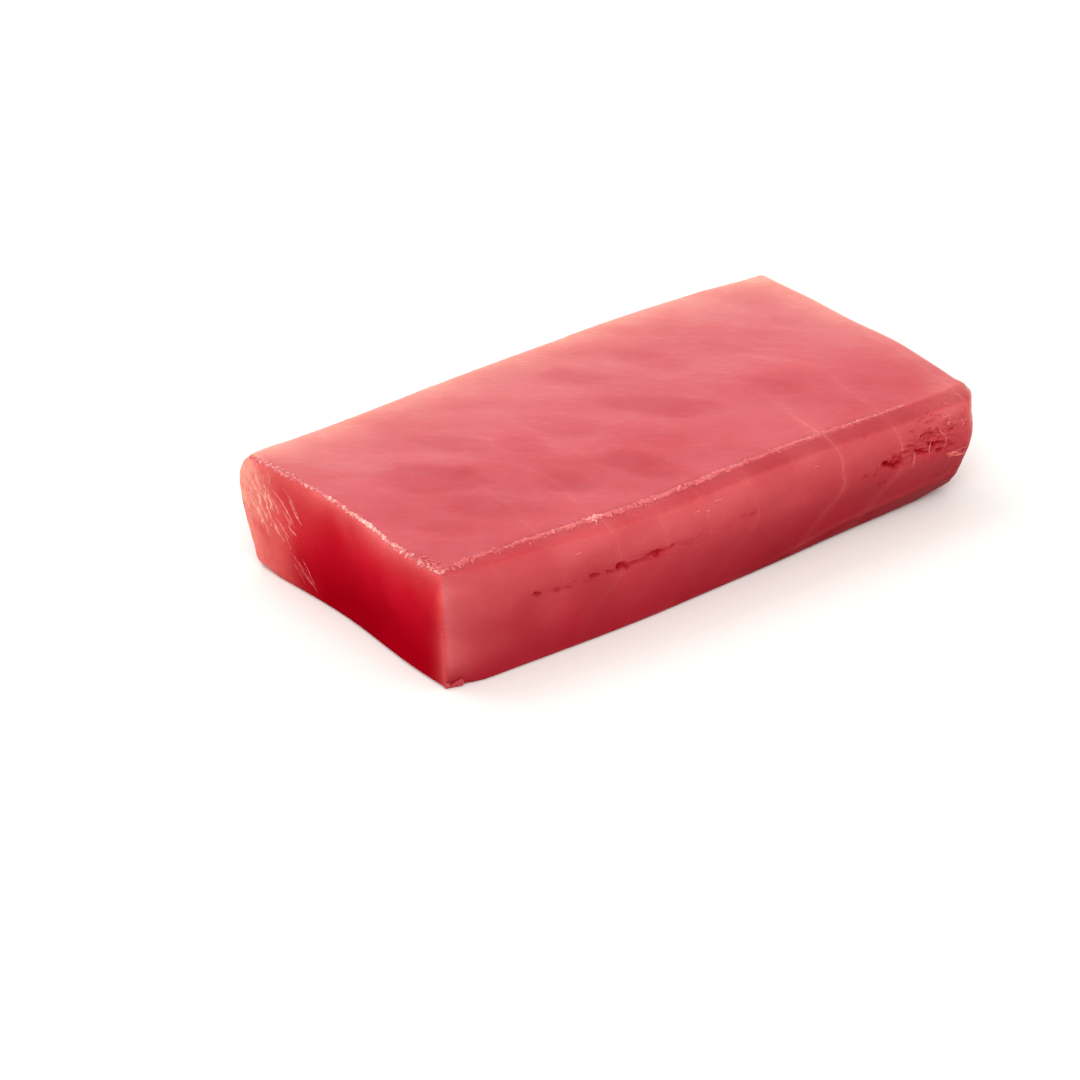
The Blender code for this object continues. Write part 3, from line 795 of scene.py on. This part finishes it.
skinSteps = {
    "x": ((-86, 0.40), (-80, 0.6), (-72, 0.95), (-66, 0.95), (-63, 0.55), (-14, 0.55), (-11, 1.0), (42, 1.0),
          (45, 0.55), (66, 0.5), (86, 0.45)),
    "y": ((-44, 0.32), (-40, 0.36), (-35, 0.9), (30, 1.25), (39, 0.65), (44, 0.45)),
    "z": ((0, 0.45), (3, 0.6), (9, 0.9), (13, 0.5), (28.5, 0.5), (32, 0.34)),
}


# The whole skin: the box grid put through the block's surface and raised by the relief along its normals.
def makeSkin():
    xs = gridLines(-halfLength, halfLength, skinSteps["x"])
    ys = gridLines(-halfWidth, halfWidth, skinSteps["y"])
    zs = gridLines(0.0, bar["height"], skinSteps["z"])
    barPoints, faces = boxGrid(xs, ys, zs)
    smooth = blockSurface(barPoints)
    normals = pointNormals(smooth, faces)
    gapShadeShare, gapHeight = gapRelief(smooth, barPoints)
    height = reliefHeight(smooth, barPoints) + gapHeight
    points = smooth + normals * height[:, None]
    points[:, 2] = np.maximum(points[:, 2], bar["settled"])
    print(f"skin: {len(points)} points, {2 * len(faces)} triangles")
    return points, faces, skinValues(smooth, barPoints, normals, gapShadeShare), smooth


# Where each look lies. Pairs are where an easy climb starts and how long it runs; those of top, near, cutTurn
# and the first two of the bevel are parts of the normal, the others millimetres. Reaches are those of fades.
skinPlaces = {
    "top": (0.55, 0.40), "near": (0.2, 0.5), "cutTurn": (0.40, 0.45), "cutAlong": (70, 8),
    "bevelLow": (0.12, 0.5), "bevelHigh": (-0.98, 0.2), "bevelAside": (37, 2),
    "tornAlong": (66, 14), "tornAside": (30, 9), "thinTorn": 0.14,
    "farThin": 0.97, "farReach": 6.0, "farDepth": 9.0,
    "endReaches": (5.0, 8.0), "endDepth": 7.0, "endAside": (20, 25), "endGain": (-35, 75),
    "rimReaches": (3.0, 9.0), "rimAside": (4, 26), "rimStart": 0.8,
    "sideRim": 0.55, "sideRimReach": 1.6, "sideRimStart": 0.5,
    "cheekRimReach": 15.0, "cheekRimPower": 2.4, "cheekReach": 7.0, "cheekPower": 1.6,
    "uprightReach": 6.0, "uprightStart": 1.0, "uprightFoot": (1, 7),
    "streaks": ((0.65, 69.0, 14.0, 19.5, 4.0, 0.12), (0.5, -30.0, 26.0, 17.3, 1.4, 0.0)),
    "climbFrom": 66.0,  # streaks: strength, X, run, Z, spread, and how they climb from this X on
    "footEdge": (-0.5, 1.1), "lowAlong": (-50, 80), "lowRightShade": (11, 7), "lowShadeGain": 0.42,
    # a painted highlight along the foot's crease, from this place on; painted shade on the bevel, near the
    # cut end and far along
    "footRimHighlight": 0.12, "footRimAlong": (5, 15), "bevelShadeGains": (0.15, 0.85),
    "farAside": (-26, 52), "farSlant": 0.12, "cutAside": (-5, 35), "sheetLow": (6, 12), "lineLow": (11, 9),
    "dryFoot": (4, 20), "dryStreaks": 0.6,
}


# What the material reads at each point: how much of each look it takes, mostly 0 to 1, and the sheets' phase.
def skinValues(smooth, barPoints, normals, gapShadeShare):
    p = skinPlaces
    x, y, z = smooth.T
    nx, ny, nz = normals.T
    fromCut = barPoints[:, 0] + halfLength
    fromEnd = halfLength - barPoints[:, 0]
    fromFar = halfWidth - barPoints[:, 1]
    fromNear = barPoints[:, 1] + halfWidth
    fromTop = bar["height"] - barPoints[:, 2]
    wander = 1.0 + 0.35 * roughNoise(smooth, 9.0, 95, 2)
    onTop = rise(nz, *p["top"])
    onNear = rise(-ny, *p["near"])
    onBevel = rise(nz, *p["bevelLow"]) * rise(-nz, *p["bevelHigh"]) * rise(-y, *p["bevelAside"])
    torn = rise(x, *p["tornAlong"]) * rise(-y, *p["tornAside"])

    # painted glow at thin edges, where light comes through
    farTop = fade(fromFar, p["farReach"] * wander) * fade(fromTop, p["farDepth"])
    endReach = mixed(*p["endReaches"], rise(y, *p["endAside"])) * wander
    endTop = fade(fromEnd, endReach) * fade(fromTop, p["endDepth"])
    endTop *= mixed(0.3, 1.0, rise(y, *p["endGain"]))
    thinTop = 1.0 - (1.0 - np.clip(p["farThin"] * farTop, 0.0, 1.0)) * (1.0 - np.clip(endTop, 0.0, 1.0))

    # the cut face: painted glow along its rim and over its far cheek
    cutShare = rise(-nx, *p["cutTurn"]) * rise(-x, *p["cutAlong"])
    rimReach = mixed(*p["rimReaches"], rise(y, *p["rimAside"])) * wander
    topRim = fade(fromTop, rimReach, p["rimStart"])
    sideRim = p["sideRim"] * fade(fromNear, p["sideRimReach"], p["sideRimStart"])
    cheekRim = fade(fromFar, p["cheekRimReach"] * wander, power=p["cheekRimPower"])
    cheek = fade(fromFar, p["cheekReach"] * wander, power=p["cheekPower"])
    cheek = cheek * mixed(0.5, 1.0, smoothStep(z / 24.0))

    # painted light on the rounded upright edge beside the cut
    uprightLight = fade(fromCut, p["uprightReach"], p["uprightStart"]) * (1.0 - 0.5 * hump(fromCut - 0.2, 0.9))

    # sheets and crests
    longCrest, cutCrest = crestDistances(barPoints)
    aboveCrest = barPoints[:, 1] - crestLine(barPoints[:, 0])
    phase = septumPhase(smooth)
    fading = np.clip(0.65 + 0.5 * roughNoise(smooth, 17.0, 91, 2), 0.1, 1.0)
    gain = np.array(septa["gains"])[np.round(phase).astype(int)] * fading * (1.0 - cutShare)
    lineReach = mixed(rise(z, *p["lineLow"]), hump(y + 41.0, 19.0), onTop)
    island, islandRim = islandShares(smooth)

    # where the near side is streaked: round its gaps, most at the far end
    streaks = np.zeros_like(x)
    for strength, middleX, run, middleZ, spread, climb in p["streaks"]:
        fromLine = z - middleZ - climb * (x - p["climbFrom"])
        streaks += strength * hump(x - middleX, run) * hump(fromLine, spread)

    # painted shade: a dark band along the near side's foot, darker towards the far end, and a darker lower
    # half towards the far end
    fromFoot = z - footTop(x)
    footShade = 0.9 * smoothStep(x / 15.0) * (1.0 - rise(fromFoot, *p["footEdge"]))
    lowRightShade = p["lowShadeGain"] * rise(x, *p["lowAlong"]) * (1.0 - rise(z, *p["lowRightShade"]))
    wet = (1.0 - cutShare) * (1.0 - gapShadeShare) * (1.0 - p["dryStreaks"] * streaks * onNear)
    return {
        "topShare": onTop,
        # the far part of the top: painted light coming through from behind
        "farGlowShare": rise(y + p["farSlant"] * x, *p["farAside"]),
        "islandShare": island,
        "islandRim": 0.5 * islandRim,
        "sideShadeHeight": np.clip(z / bar["height"], 0.0, 1.0),
        "cutShadeHeight": np.clip(z / bar["height"] + 0.3 * rise(y, *p["cutAside"]), 0.0, 1.0),
        "footShadeShare": onNear * np.maximum(footShade, lowRightShade),
        "streakShare": onNear * streaks,
        # a painted highlight: a paler line along the crease above the foot
        "footRimHighlight": p["footRimHighlight"] * onNear * rise(x, *p["footRimAlong"]) * hump(fromFoot - 1.0, 0.5),
        "uprightLightShare": 0.9 * onNear * uprightLight * rise(z, *p["uprightFoot"]),
        "wetShare": wet * mixed(0.4, 1.0, rise(z, *p["dryFoot"])),
        # painted shade on the bevel strip, darker towards the far end
        "bevelShadeShare": onBevel * mixed(*p["bevelShadeGains"], rise(x, *p["lowAlong"])),
        "shadeShare": 0.6 * onTop * crestGain(x) * hump(aboveCrest - 1.0, 0.5),
        "cutShare": cutShare,
        "cutRimGlow": np.maximum(np.maximum(topRim, sideRim), cheekRim),
        "thinGlowShare": np.maximum(thinTop * (1.0 - cutShare), cutShare * cheek) + p["thinTorn"] * torn * onTop,
        "sheetPhase": phase,
        "sheetLine": gain * lineReach,
        "sheetBand": gain * mixed(0.3, 1.0, rise(z, *p["sheetLow"])),
        # along the crests: pale frayed flesh and a painted highlight
        "crestPaleAndHighlight": np.maximum(0.6 * crestGain(x) * hump(longCrest, 0.6), 0.5 * hump(cutCrest, 0.6)),
        "gapShadeShare": gapShadeShare,
    }


# The move from the bar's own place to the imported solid's: the middles of their boxes meet, and the
# underside is at 0.
def wayToSolid(smooth):
    solidMiddle = 0.5 * (np.array(cadBox[0]) + np.array(cadBox[1])) / mm
    ownMiddle = 0.5 * (smooth.min(axis=0) + smooth.max(axis=0))
    way = solidMiddle - ownMiddle
    way[2] = -bar["settled"]
    return way


skinPoints, skinFaces, skinShares, smoothPoints = makeSkin()
way = wayToSolid(smoothPoints)
tunaSkin = meshObject("tunaSkin", skinPoints + way, skinFaces, skinMaterial(), skinShares)
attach(tunaSkin, "root")
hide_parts("tuna_block")


# A place counted from one of the two trimmed top edges: how far along it, and how far in over the top, or
# down the side where that is negative. The result is the place on the squared bar.
def barPlace(edge, run, inward):
    z = bar["height"] + np.minimum(inward, 0.0)
    over = np.maximum(inward, 0.0)
    if edge == "near":
        return np.column_stack((run, over - halfWidth, z))
    return np.column_stack((over - halfLength, run, z))


# Such a place on the skin with three directions of length 1: along the edge, away from it, and out of the
# flesh.
def edgeFrame(edge, run, inward):
    onBar = barPlace(edge, run, inward)
    surface = blockSurface(onBar)
    along = blockSurface(barPlace(edge, run + 0.1, inward)) - surface
    aside = blockSurface(barPlace(edge, run, inward + 0.1)) - surface
    outward = np.cross(along, aside) * (1.0 if edge == "near" else -1.0)
    directions = [axis / np.linalg.norm(axis, axis=1, keepdims=True) for axis in (along, aside, outward)]
    return surface + directions[2] * reliefHeight(surface, onBar)[:, None], *directions


# Turns faces over on the cut edge, whose directions are left-handed, and keeps every point on or above the
# floor.
def settledMesh(edge, points, faces):
    points[:, 2] = np.maximum(points[:, 2], bar["settled"] + 0.01)
    return points, faces if edge == "near" else faces[:, ::-1]


ribbon = {"toothSize": 0.7, "sunk": 0.4, "sunkMore": 0.03}  # how deep the hidden lower half goes
lump = {"least": (0.8, 0.5, 0.4), "greatest": (1.8, 1.1, 0.8), "dents": (0.75, 1.2), "lift": 0.3}


# A flattened tube laid on the skin: at each station of a path an ellipse is drawn across it, its upper half
# standing out of the skin and its lower half hidden inside. Noise makes its edges ragged. Both ends are
# closed.
def layRibbon(edge, run, inward, widths, heights, teeth, seed, sides=8):
    turn = np.linspace(0.0, 2.0 * math.pi, sides, endpoint=False)
    stepRun, stepIn = np.gradient(run), np.gradient(inward)
    length = np.hypot(stepRun, stepIn)
    toothed = 1.0 + teeth * cloudNoise(levelPoints(run, inward), ribbon["toothSize"], seed)
    out = np.outer(widths * toothed, np.cos(turn))
    allRun = run[:, None] - out * (stepIn / length)[:, None]
    allIn = inward[:, None] + out * (stepRun / length)[:, None]
    surface, _, _, outward = edgeFrame(edge, allRun.ravel(), allIn.ravel())
    lift = np.outer(heights, np.sin(turn)).ravel()
    lift = np.where(lift < 0.0, ribbon["sunk"] * lift - ribbon["sunkMore"], lift)
    ring = np.arange(sides)
    start = np.arange(len(run) - 1)[:, None] * sides
    after = (ring + 1) % sides
    tube = np.stack((start + ring, start + after, start + sides + after, start + sides + ring), axis=-1)
    step = np.arange(sides // 2 - 1)
    cap = np.column_stack((-step % sides, step + 1, step + 2, (-step - 1) % sides))
    faces = np.concatenate((tube.reshape(-1, 4), cap[:, ::-1], cap + (len(run) - 1) * sides))
    return settledMesh(edge, surface + outward * lift[:, None], faces)


# Small lumps of torn flesh on the skin. Each is a ball whose three sizes, turn and dents are drawn at
# random, and whose lowest third is sunk into the skin.
def layLumps(edge, run, inward, sizes, seed):
    draw = np.random.default_rng(seed)
    line = np.array((-1.0, 0.0, 1.0))
    ball, ballFaces = boxGrid(line, line, line)
    ball /= np.linalg.norm(ball, axis=1, keepdims=True)
    surface, along, aside, outward = edgeFrame(edge, run, inward)
    turn = draw.uniform(0.0, 2.0 * math.pi, len(run))[:, None]
    first = along * np.cos(turn) + aside * np.sin(turn)
    second = aside * np.cos(turn) - along * np.sin(turn)
    scales = sizes[:, None] * draw.uniform(lump["least"], lump["greatest"], (len(run), 3))
    dented = ball * scales[:, None] * draw.uniform(*lump["dents"], (len(run), len(ball), 1))
    dented[:, :, 2] += lump["lift"] * scales[:, None, 2]
    points = surface[:, None] + dented @ np.stack((first, second, outward), axis=1)
    faces = ballFaces + np.arange(len(run))[:, None, None] * len(ball)
    return settledMesh(edge, points.reshape(-1, 3), faces.reshape(-1, 4))


# Several meshes of one kind as one: their points and faces one after the other.
def joined(parts):
    counts = np.cumsum([0] + [len(points) for points, _ in parts[:-1]])
    points = np.concatenate([points for points, _ in parts])
    faces = np.concatenate([faces + count for (_, faces), count in zip(parts, counts)])
    return points, faces


fringeLook = {
    "deepColour": (0.40, 0.022, 0.034, 1.0), "pinkColour": (0.66, 0.120, 0.130, 1.0),
    # the whitest crumbs: pale torn flesh and a painted highlight
    "whiteAndHighlightColour": (0.92, 0.50, 0.45, 1.0),
    "ior": 1.4, "specular": 0.2, "coat": 0.3, "coatRoughness": 0.15,
    "subsurface": 0.1, "subsurfaceRadius": (1.0, 0.6, 0.5), "subsurfaceScale": 0.3,
    "mottling": 0.25, "wetRoughness": 0.18, "dryRoughness": 0.36, "bump": 0.06,
    "patches": (700.0, 2.0), "patchGain": 0.6, "pinkRange": (0.05, 0.45), "whiteRange": (0.55, 1.0),
}


# Each crumb and fibre has its own paleness: 0 is deep red, a half is pink, 1 is nearly white; the palest are
# pale torn flesh and a painted highlight.
def fringeMaterial(name, look):
    material, tree, shader, moist = fleshMaterial(name, look)
    place = addNode(tree, "ShaderNodeTexCoord").outputs["Object"]
    patchy = numbers(tree, "SUBTRACT", noiseValue(tree, place, *look["patches"]), 0.5)
    tone = numbers(tree, "MULTIPLY_ADD", patchy, look["patchGain"], "palenessAndHighlight")
    colour = mixColour(tree, ramp(tree, tone, *look["pinkRange"]), look["deepColour"], look["pinkColour"])
    colour = mixColour(tree, ramp(tree, tone, *look["whiteRange"]), colour, look["whiteAndHighlightColour"])
    feed(tree, moist.inputs["Colour"], colour)
    feed(tree, shader.inputs["Base Color"], moist.outputs["Colour"])
    shader.inputs["Coat Weight"].default_value = look["coat"]
    addBump(tree, shader, moist.outputs["Height"], look["bump"])
    return material


# Torn, wet crumbs along the two trimmed edges. Each band names its edge, where it starts and ends, how far in
# from the edge it lies at either end, how far it spreads, how many crumbs it has, their least and greatest
# radius, how pale they are (the palest partly a painted highlight), and how clustered.
fringe = {
    "bands": (
        ("near", -75, 20, 2.4, 3.4, 0.22, 330, 0.26, 0.58, 0.50, 0.6),
        ("near", 20, 62, 3.4, 3.4, 0.16, 250, 0.20, 0.44, 0.52, 0.4),
        ("near", -84, -20, 1.4, 2.5, 0.6, 80, 0.14, 0.32, 0.48, 1.0),
        ("near", -86, -75, 2.0, 2.4, 0.8, 70, 0.26, 0.60, 0.50, 0.4),
        ("near", -42, -37, 3.0, 3.0, 0.45, 34, 0.30, 0.60, 0.70, 0.0),
        ("near", -4, 0, 3.5, 3.5, 0.35, 22, 0.28, 0.52, 0.64, 0.0),
        ("cut", -43, -22, 1.6, 0.9, 0.5, 150, 0.22, 0.50, 0.72, 0.7),
        ("cut", -22, 40, 0.6, 0.5, 0.22, 300, 0.18, 0.42, 0.76, 0.9),
        ("cut", 22, 42, 0.9, 0.8, 0.45, 90, 0.22, 0.48, 0.62, 0.5),
        ("cut", -43, -32, 2.2, 1.6, 1.0, 60, 0.24, 0.52, 0.50, 0.6),
        ("cut", -14, -4, 0.4, 0.4, 0.22, 60, 0.22, 0.44, 0.95, 0.4),
        ("near", -86, -81, -30.9, -30.9, 0.35, 20, 0.5, 0.9, 0.12, 0.0),  # the scrap at the corner's foot
    ),
    "clusterSize": 2.2, "wander": 0.3, "wanderSize": 4.0, "smallness": 1.8, "paleSpread": 0.15,
    # threads: edge, start, end, how far in at either end, and seed
    "threads": (("near", -84, 64, 2.3, 3.4, 210), ("cut", -41, 38, 0.9, 0.6, 230)),
    "threadStep": 0.25, "threadWidth": 0.36, "threadHeight": 0.13, "threadPale": 0.48, "threadTeeth": 0.9,
}


# Crumbs thrown along one band: places that fall where noise is low are thinned out, so that the rest form
# clusters.
def layBand(band, seed):
    edge, start, end, inStart, inEnd, spread, count, least, greatest, pale, clustered = band
    draw = np.random.default_rng(seed)
    run = draw.uniform(start, end, 3 * count)
    noise = cloudNoise(levelPoints(run, 0.0 * run), fringe["clusterSize"], seed + 7)
    keep = draw.uniform(0.0, 1.0, 3 * count) < 0.5 + clustered * noise
    run = run[keep][:count]
    wander = fringe["wander"] * cloudNoise(levelPoints(run, run), fringe["wanderSize"], seed + 8)
    inward = mixed(inStart, inEnd, (run - start) / (end - start)) + wander
    inward = inward + draw.normal(0.0, spread, len(run))
    sizes = mixed(least, greatest, draw.uniform(0.0, 1.0, len(run)) ** fringe["smallness"])
    part = layLumps(edge, run, inward, sizes, seed + 9)
    tones = pale + draw.uniform(-fringe["paleSpread"], fringe["paleSpread"], len(run))
    return part, np.repeat(tones, len(part[0]) // len(run))


# Under the crumbs runs a thread that binds them: thin, wandering, and swelling and shrinking with noise.
def layThread(edge, start, end, inStart, inEnd, seed):
    run = np.arange(start, end, fringe["threadStep"])
    line = levelPoints(run, 0.0 * run)
    inward = mixed(inStart, inEnd, (run - start) / (end - start)) + 0.3 * cloudNoise(line, 3.1, seed)
    ends = rise(run, start, 2.0) * smoothStep((end - run) / 10.0)
    size = np.clip(0.6 + 0.9 * roughNoise(line, 2.4, seed + 1, 2), 0.12, 1.5) * ends + 0.02
    widths, heights = fringe["threadWidth"] * size, fringe["threadHeight"] * size
    return layRibbon(edge, run, inward, widths, heights, fringe["threadTeeth"], seed + 2)


def makeFringe():
    crumbs = [layBand(band, 300 + 20 * number) for number, band in enumerate(fringe["bands"])]
    parts = [part for part, _ in crumbs] + [layThread(*thread) for thread in fringe["threads"]]
    palenessAndHighlight = [pale for _, pale in crumbs]
    palenessAndHighlight += [np.full(len(points), fringe["threadPale"]) for points, _ in parts[len(crumbs):]]
    points, faces = joined(parts)
    print(f"fringe: {2 * len(faces)} triangles")
    return points, faces, {"palenessAndHighlight": np.concatenate(palenessAndHighlight)}


fringePoints, fringeFaces, fringeValues = makeFringe()
fringeFlesh = fringeMaterial("tornEdge", fringeLook)
edgeFringe = meshObject("edgeFringe", fringePoints + way, fringeFaces, fringeFlesh, fringeValues)
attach(edgeFringe, "root")


# Fibres lie flatter and are less wet than the crumbs.
fibreLook = {
    **fringeLook,
    # the palest fibres: pale strands and a painted highlight
    "pinkColour": (0.66, 0.120, 0.110, 1.0), "whiteAndHighlightColour": (0.84, 0.31, 0.24, 1.0),
    "specular": 0.1, "coat": 0.1, "coatRoughness": 0.3, "wetRoughness": 0.35, "dryRoughness": 0.5,
}

# Loose fibres. Each bundle names its edge, how many there are, the least and greatest start along and in from
# the edge, the least and greatest travel along and in, how far they curl, their half width, and how pale they
# are (the palest partly a painted highlight).
fibres = {
    "bundles": (
        ("cut", 38, (33, 43.5), (-14, -1), (-4, 0.5), (-9, -2.5), 0.6, 0.19, 0.72),
        ("cut", 22, (25, 36), (-16, -2), (-5, -2), (-6, -2), 0.6, 0.15, 0.60),
        ("cut", 8, (20, 27), (-24, -21), (-8, -4), (-6, -3), 0.6, 0.08, 0.45),
        ("near", 12, (71, 80), (-9, 1), (0, 4), (-4, -1), 0.6, 0.13, 0.42),
        ("near", 8, (58, 76), (-14, -11), (-0.5, 0.8), (-4, -2), 0.2, 0.09, 0.38),
        ("near", 5, (73, 79), (-19, -15), (3, 7), (-1.5, 0), 0.4, 0.16, 0.42),
        ("near", 5, (-60, 30), (-8, -5), (1, 3), (-0.3, 0.3), 0.1, 0.12, 0.55),
    ),
    "step": 0.3, "height": 0.3, "teeth": 0.8,  # its height is a share of its half width
}


def makeFibres():
    parts = []
    palenessAndHighlight = []
    for number, bundle in enumerate(fibres["bundles"]):
        edge, count, starts, ins, travels, falls, curl, width, pale = bundle
        draw = np.random.default_rng(500 + number)
        for strand in range(count):
            travel, fall = draw.uniform(*travels), draw.uniform(*falls)
            share = np.linspace(0.0, 1.0, max(6, int(math.hypot(travel, fall) / fibres["step"])))
            waves = curl * np.sin(2.0 * math.pi * (share * draw.uniform(0.6, 1.6) + draw.uniform())) * share
            run = draw.uniform(*starts) + travel * share + waves
            inward = np.maximum(draw.uniform(*ins) + fall * share + 0.4 * waves, 0.5 - bar["height"])
            thick = width * draw.uniform(0.6, 1.4) * (0.15 + np.sin(math.pi * share) ** 0.6)
            heights = fibres["height"] * thick
            parts.append(layRibbon(edge, run, inward, thick, heights, fibres["teeth"], 600 + strand))
            palenessAndHighlight.append(np.full(len(parts[-1][0]), pale + draw.uniform(-0.15, 0.15)))
    points, faces = joined(parts)
    print(f"fibres: {len(parts)} of them, {2 * len(faces)} triangles")
    return points, faces, {"palenessAndHighlight": np.concatenate(palenessAndHighlight)}


fibrePoints, fibreFaces, fibreValues = makeFibres()
fibreFlesh = fringeMaterial("looseFibre", fibreLook)
looseFibres = meshObject("looseFibres", fibrePoints + way, fibreFaces, fibreFlesh, fibreValues)
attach(looseFibres, "root")

# Floor, light and camera
setting = {
    "floorSize": 12.0, "floorColour": (0.90, 0.905, 0.885, 1.0), "floorShade": 0.985,
    "floorClouds": (3.0, 2.0), "floorRoughness": 0.6, "floorSpecular": 0.2,
    "worldColour": (1.0, 0.96, 0.93, 1.0), "worldStrength": 0.95,
    "keySize": 1.3, "keyPower": 12.0, "keyPlace": (-0.35, 1.25, 1.45),
    "frontSize": 1.6, "frontPower": 20.0, "frontPlace": (-0.9, -1.3, 1.3),
    "cameraPlace": (-0.65234, -0.80601, 0.56125), "cameraDown": 28.65, "cameraTurn": 37.9425,
    "lens": 150.0, "sensor": 36.0,
}


# A flat sheet of floor whose colour has clouds too slight to see.
def makeFloor():
    side = np.linspace(-0.5, 0.5, 41) * setting["floorSize"] / mm
    x, y = np.meshgrid(side, side, indexing="ij")
    points = levelPoints(x.ravel(), y.ravel())
    number = np.arange(x.size).reshape(x.shape)
    material = bpy.data.materials.new("paleFloor")
    material.use_nodes = True
    tree = material.node_tree
    shader = tree.nodes["Principled BSDF"]
    place = addNode(tree, "ShaderNodeTexCoord").outputs["Object"]
    cloud = noiseValue(tree, place, *setting["floorClouds"])
    low = tuple(setting["floorShade"] * part for part in setting["floorColour"][:3]) + (1.0,)
    feed(tree, shader.inputs["Base Color"], mixColour(tree, cloud, low, setting["floorColour"]))
    shader.inputs["Roughness"].default_value = setting["floorRoughness"]
    shader.inputs["Specular IOR Level"].default_value = setting["floorSpecular"]
    return meshObject("floor", points, sheetFaces(number), material, {})


makeFloor()

world = bpy.context.scene.world or bpy.data.worlds.new("studio")
bpy.context.scene.world = world
world.use_nodes = True
background = world.node_tree.nodes["Background"]
background.inputs["Color"].default_value = setting["worldColour"]
background.inputs["Strength"].default_value = setting["worldStrength"]


def addSoftLight(name, size, power, place):
    light = bpy.data.lights.new(name, "AREA")
    light.shape = "SQUARE"
    light.size = size
    light.energy = power
    lamp = bpy.data.objects.new(name, light)
    bpy.context.scene.collection.objects.link(lamp)
    lamp.location = place
    lamp.rotation_euler = (-lamp.location).to_track_quat("-Z", "Y").to_euler()


addSoftLight("softKey", setting["keySize"], setting["keyPower"], setting["keyPlace"])
addSoftLight("frontFill", setting["frontSize"], setting["frontPower"], setting["frontPlace"])

cameraData = bpy.data.cameras.new("camera")
cameraData.lens = setting["lens"]
cameraData.sensor_width = setting["sensor"]
camera = bpy.data.objects.new("camera", cameraData)
bpy.context.scene.collection.objects.link(camera)
camera.location = setting["cameraPlace"]
tilt = math.radians(90.0 - setting["cameraDown"])
camera.rotation_euler = (tilt, 0.0, -math.radians(setting["cameraTurn"]))
bpy.context.scene.camera = camera
bpy.context.scene.view_settings.view_transform = "Standard"
print("stage set")
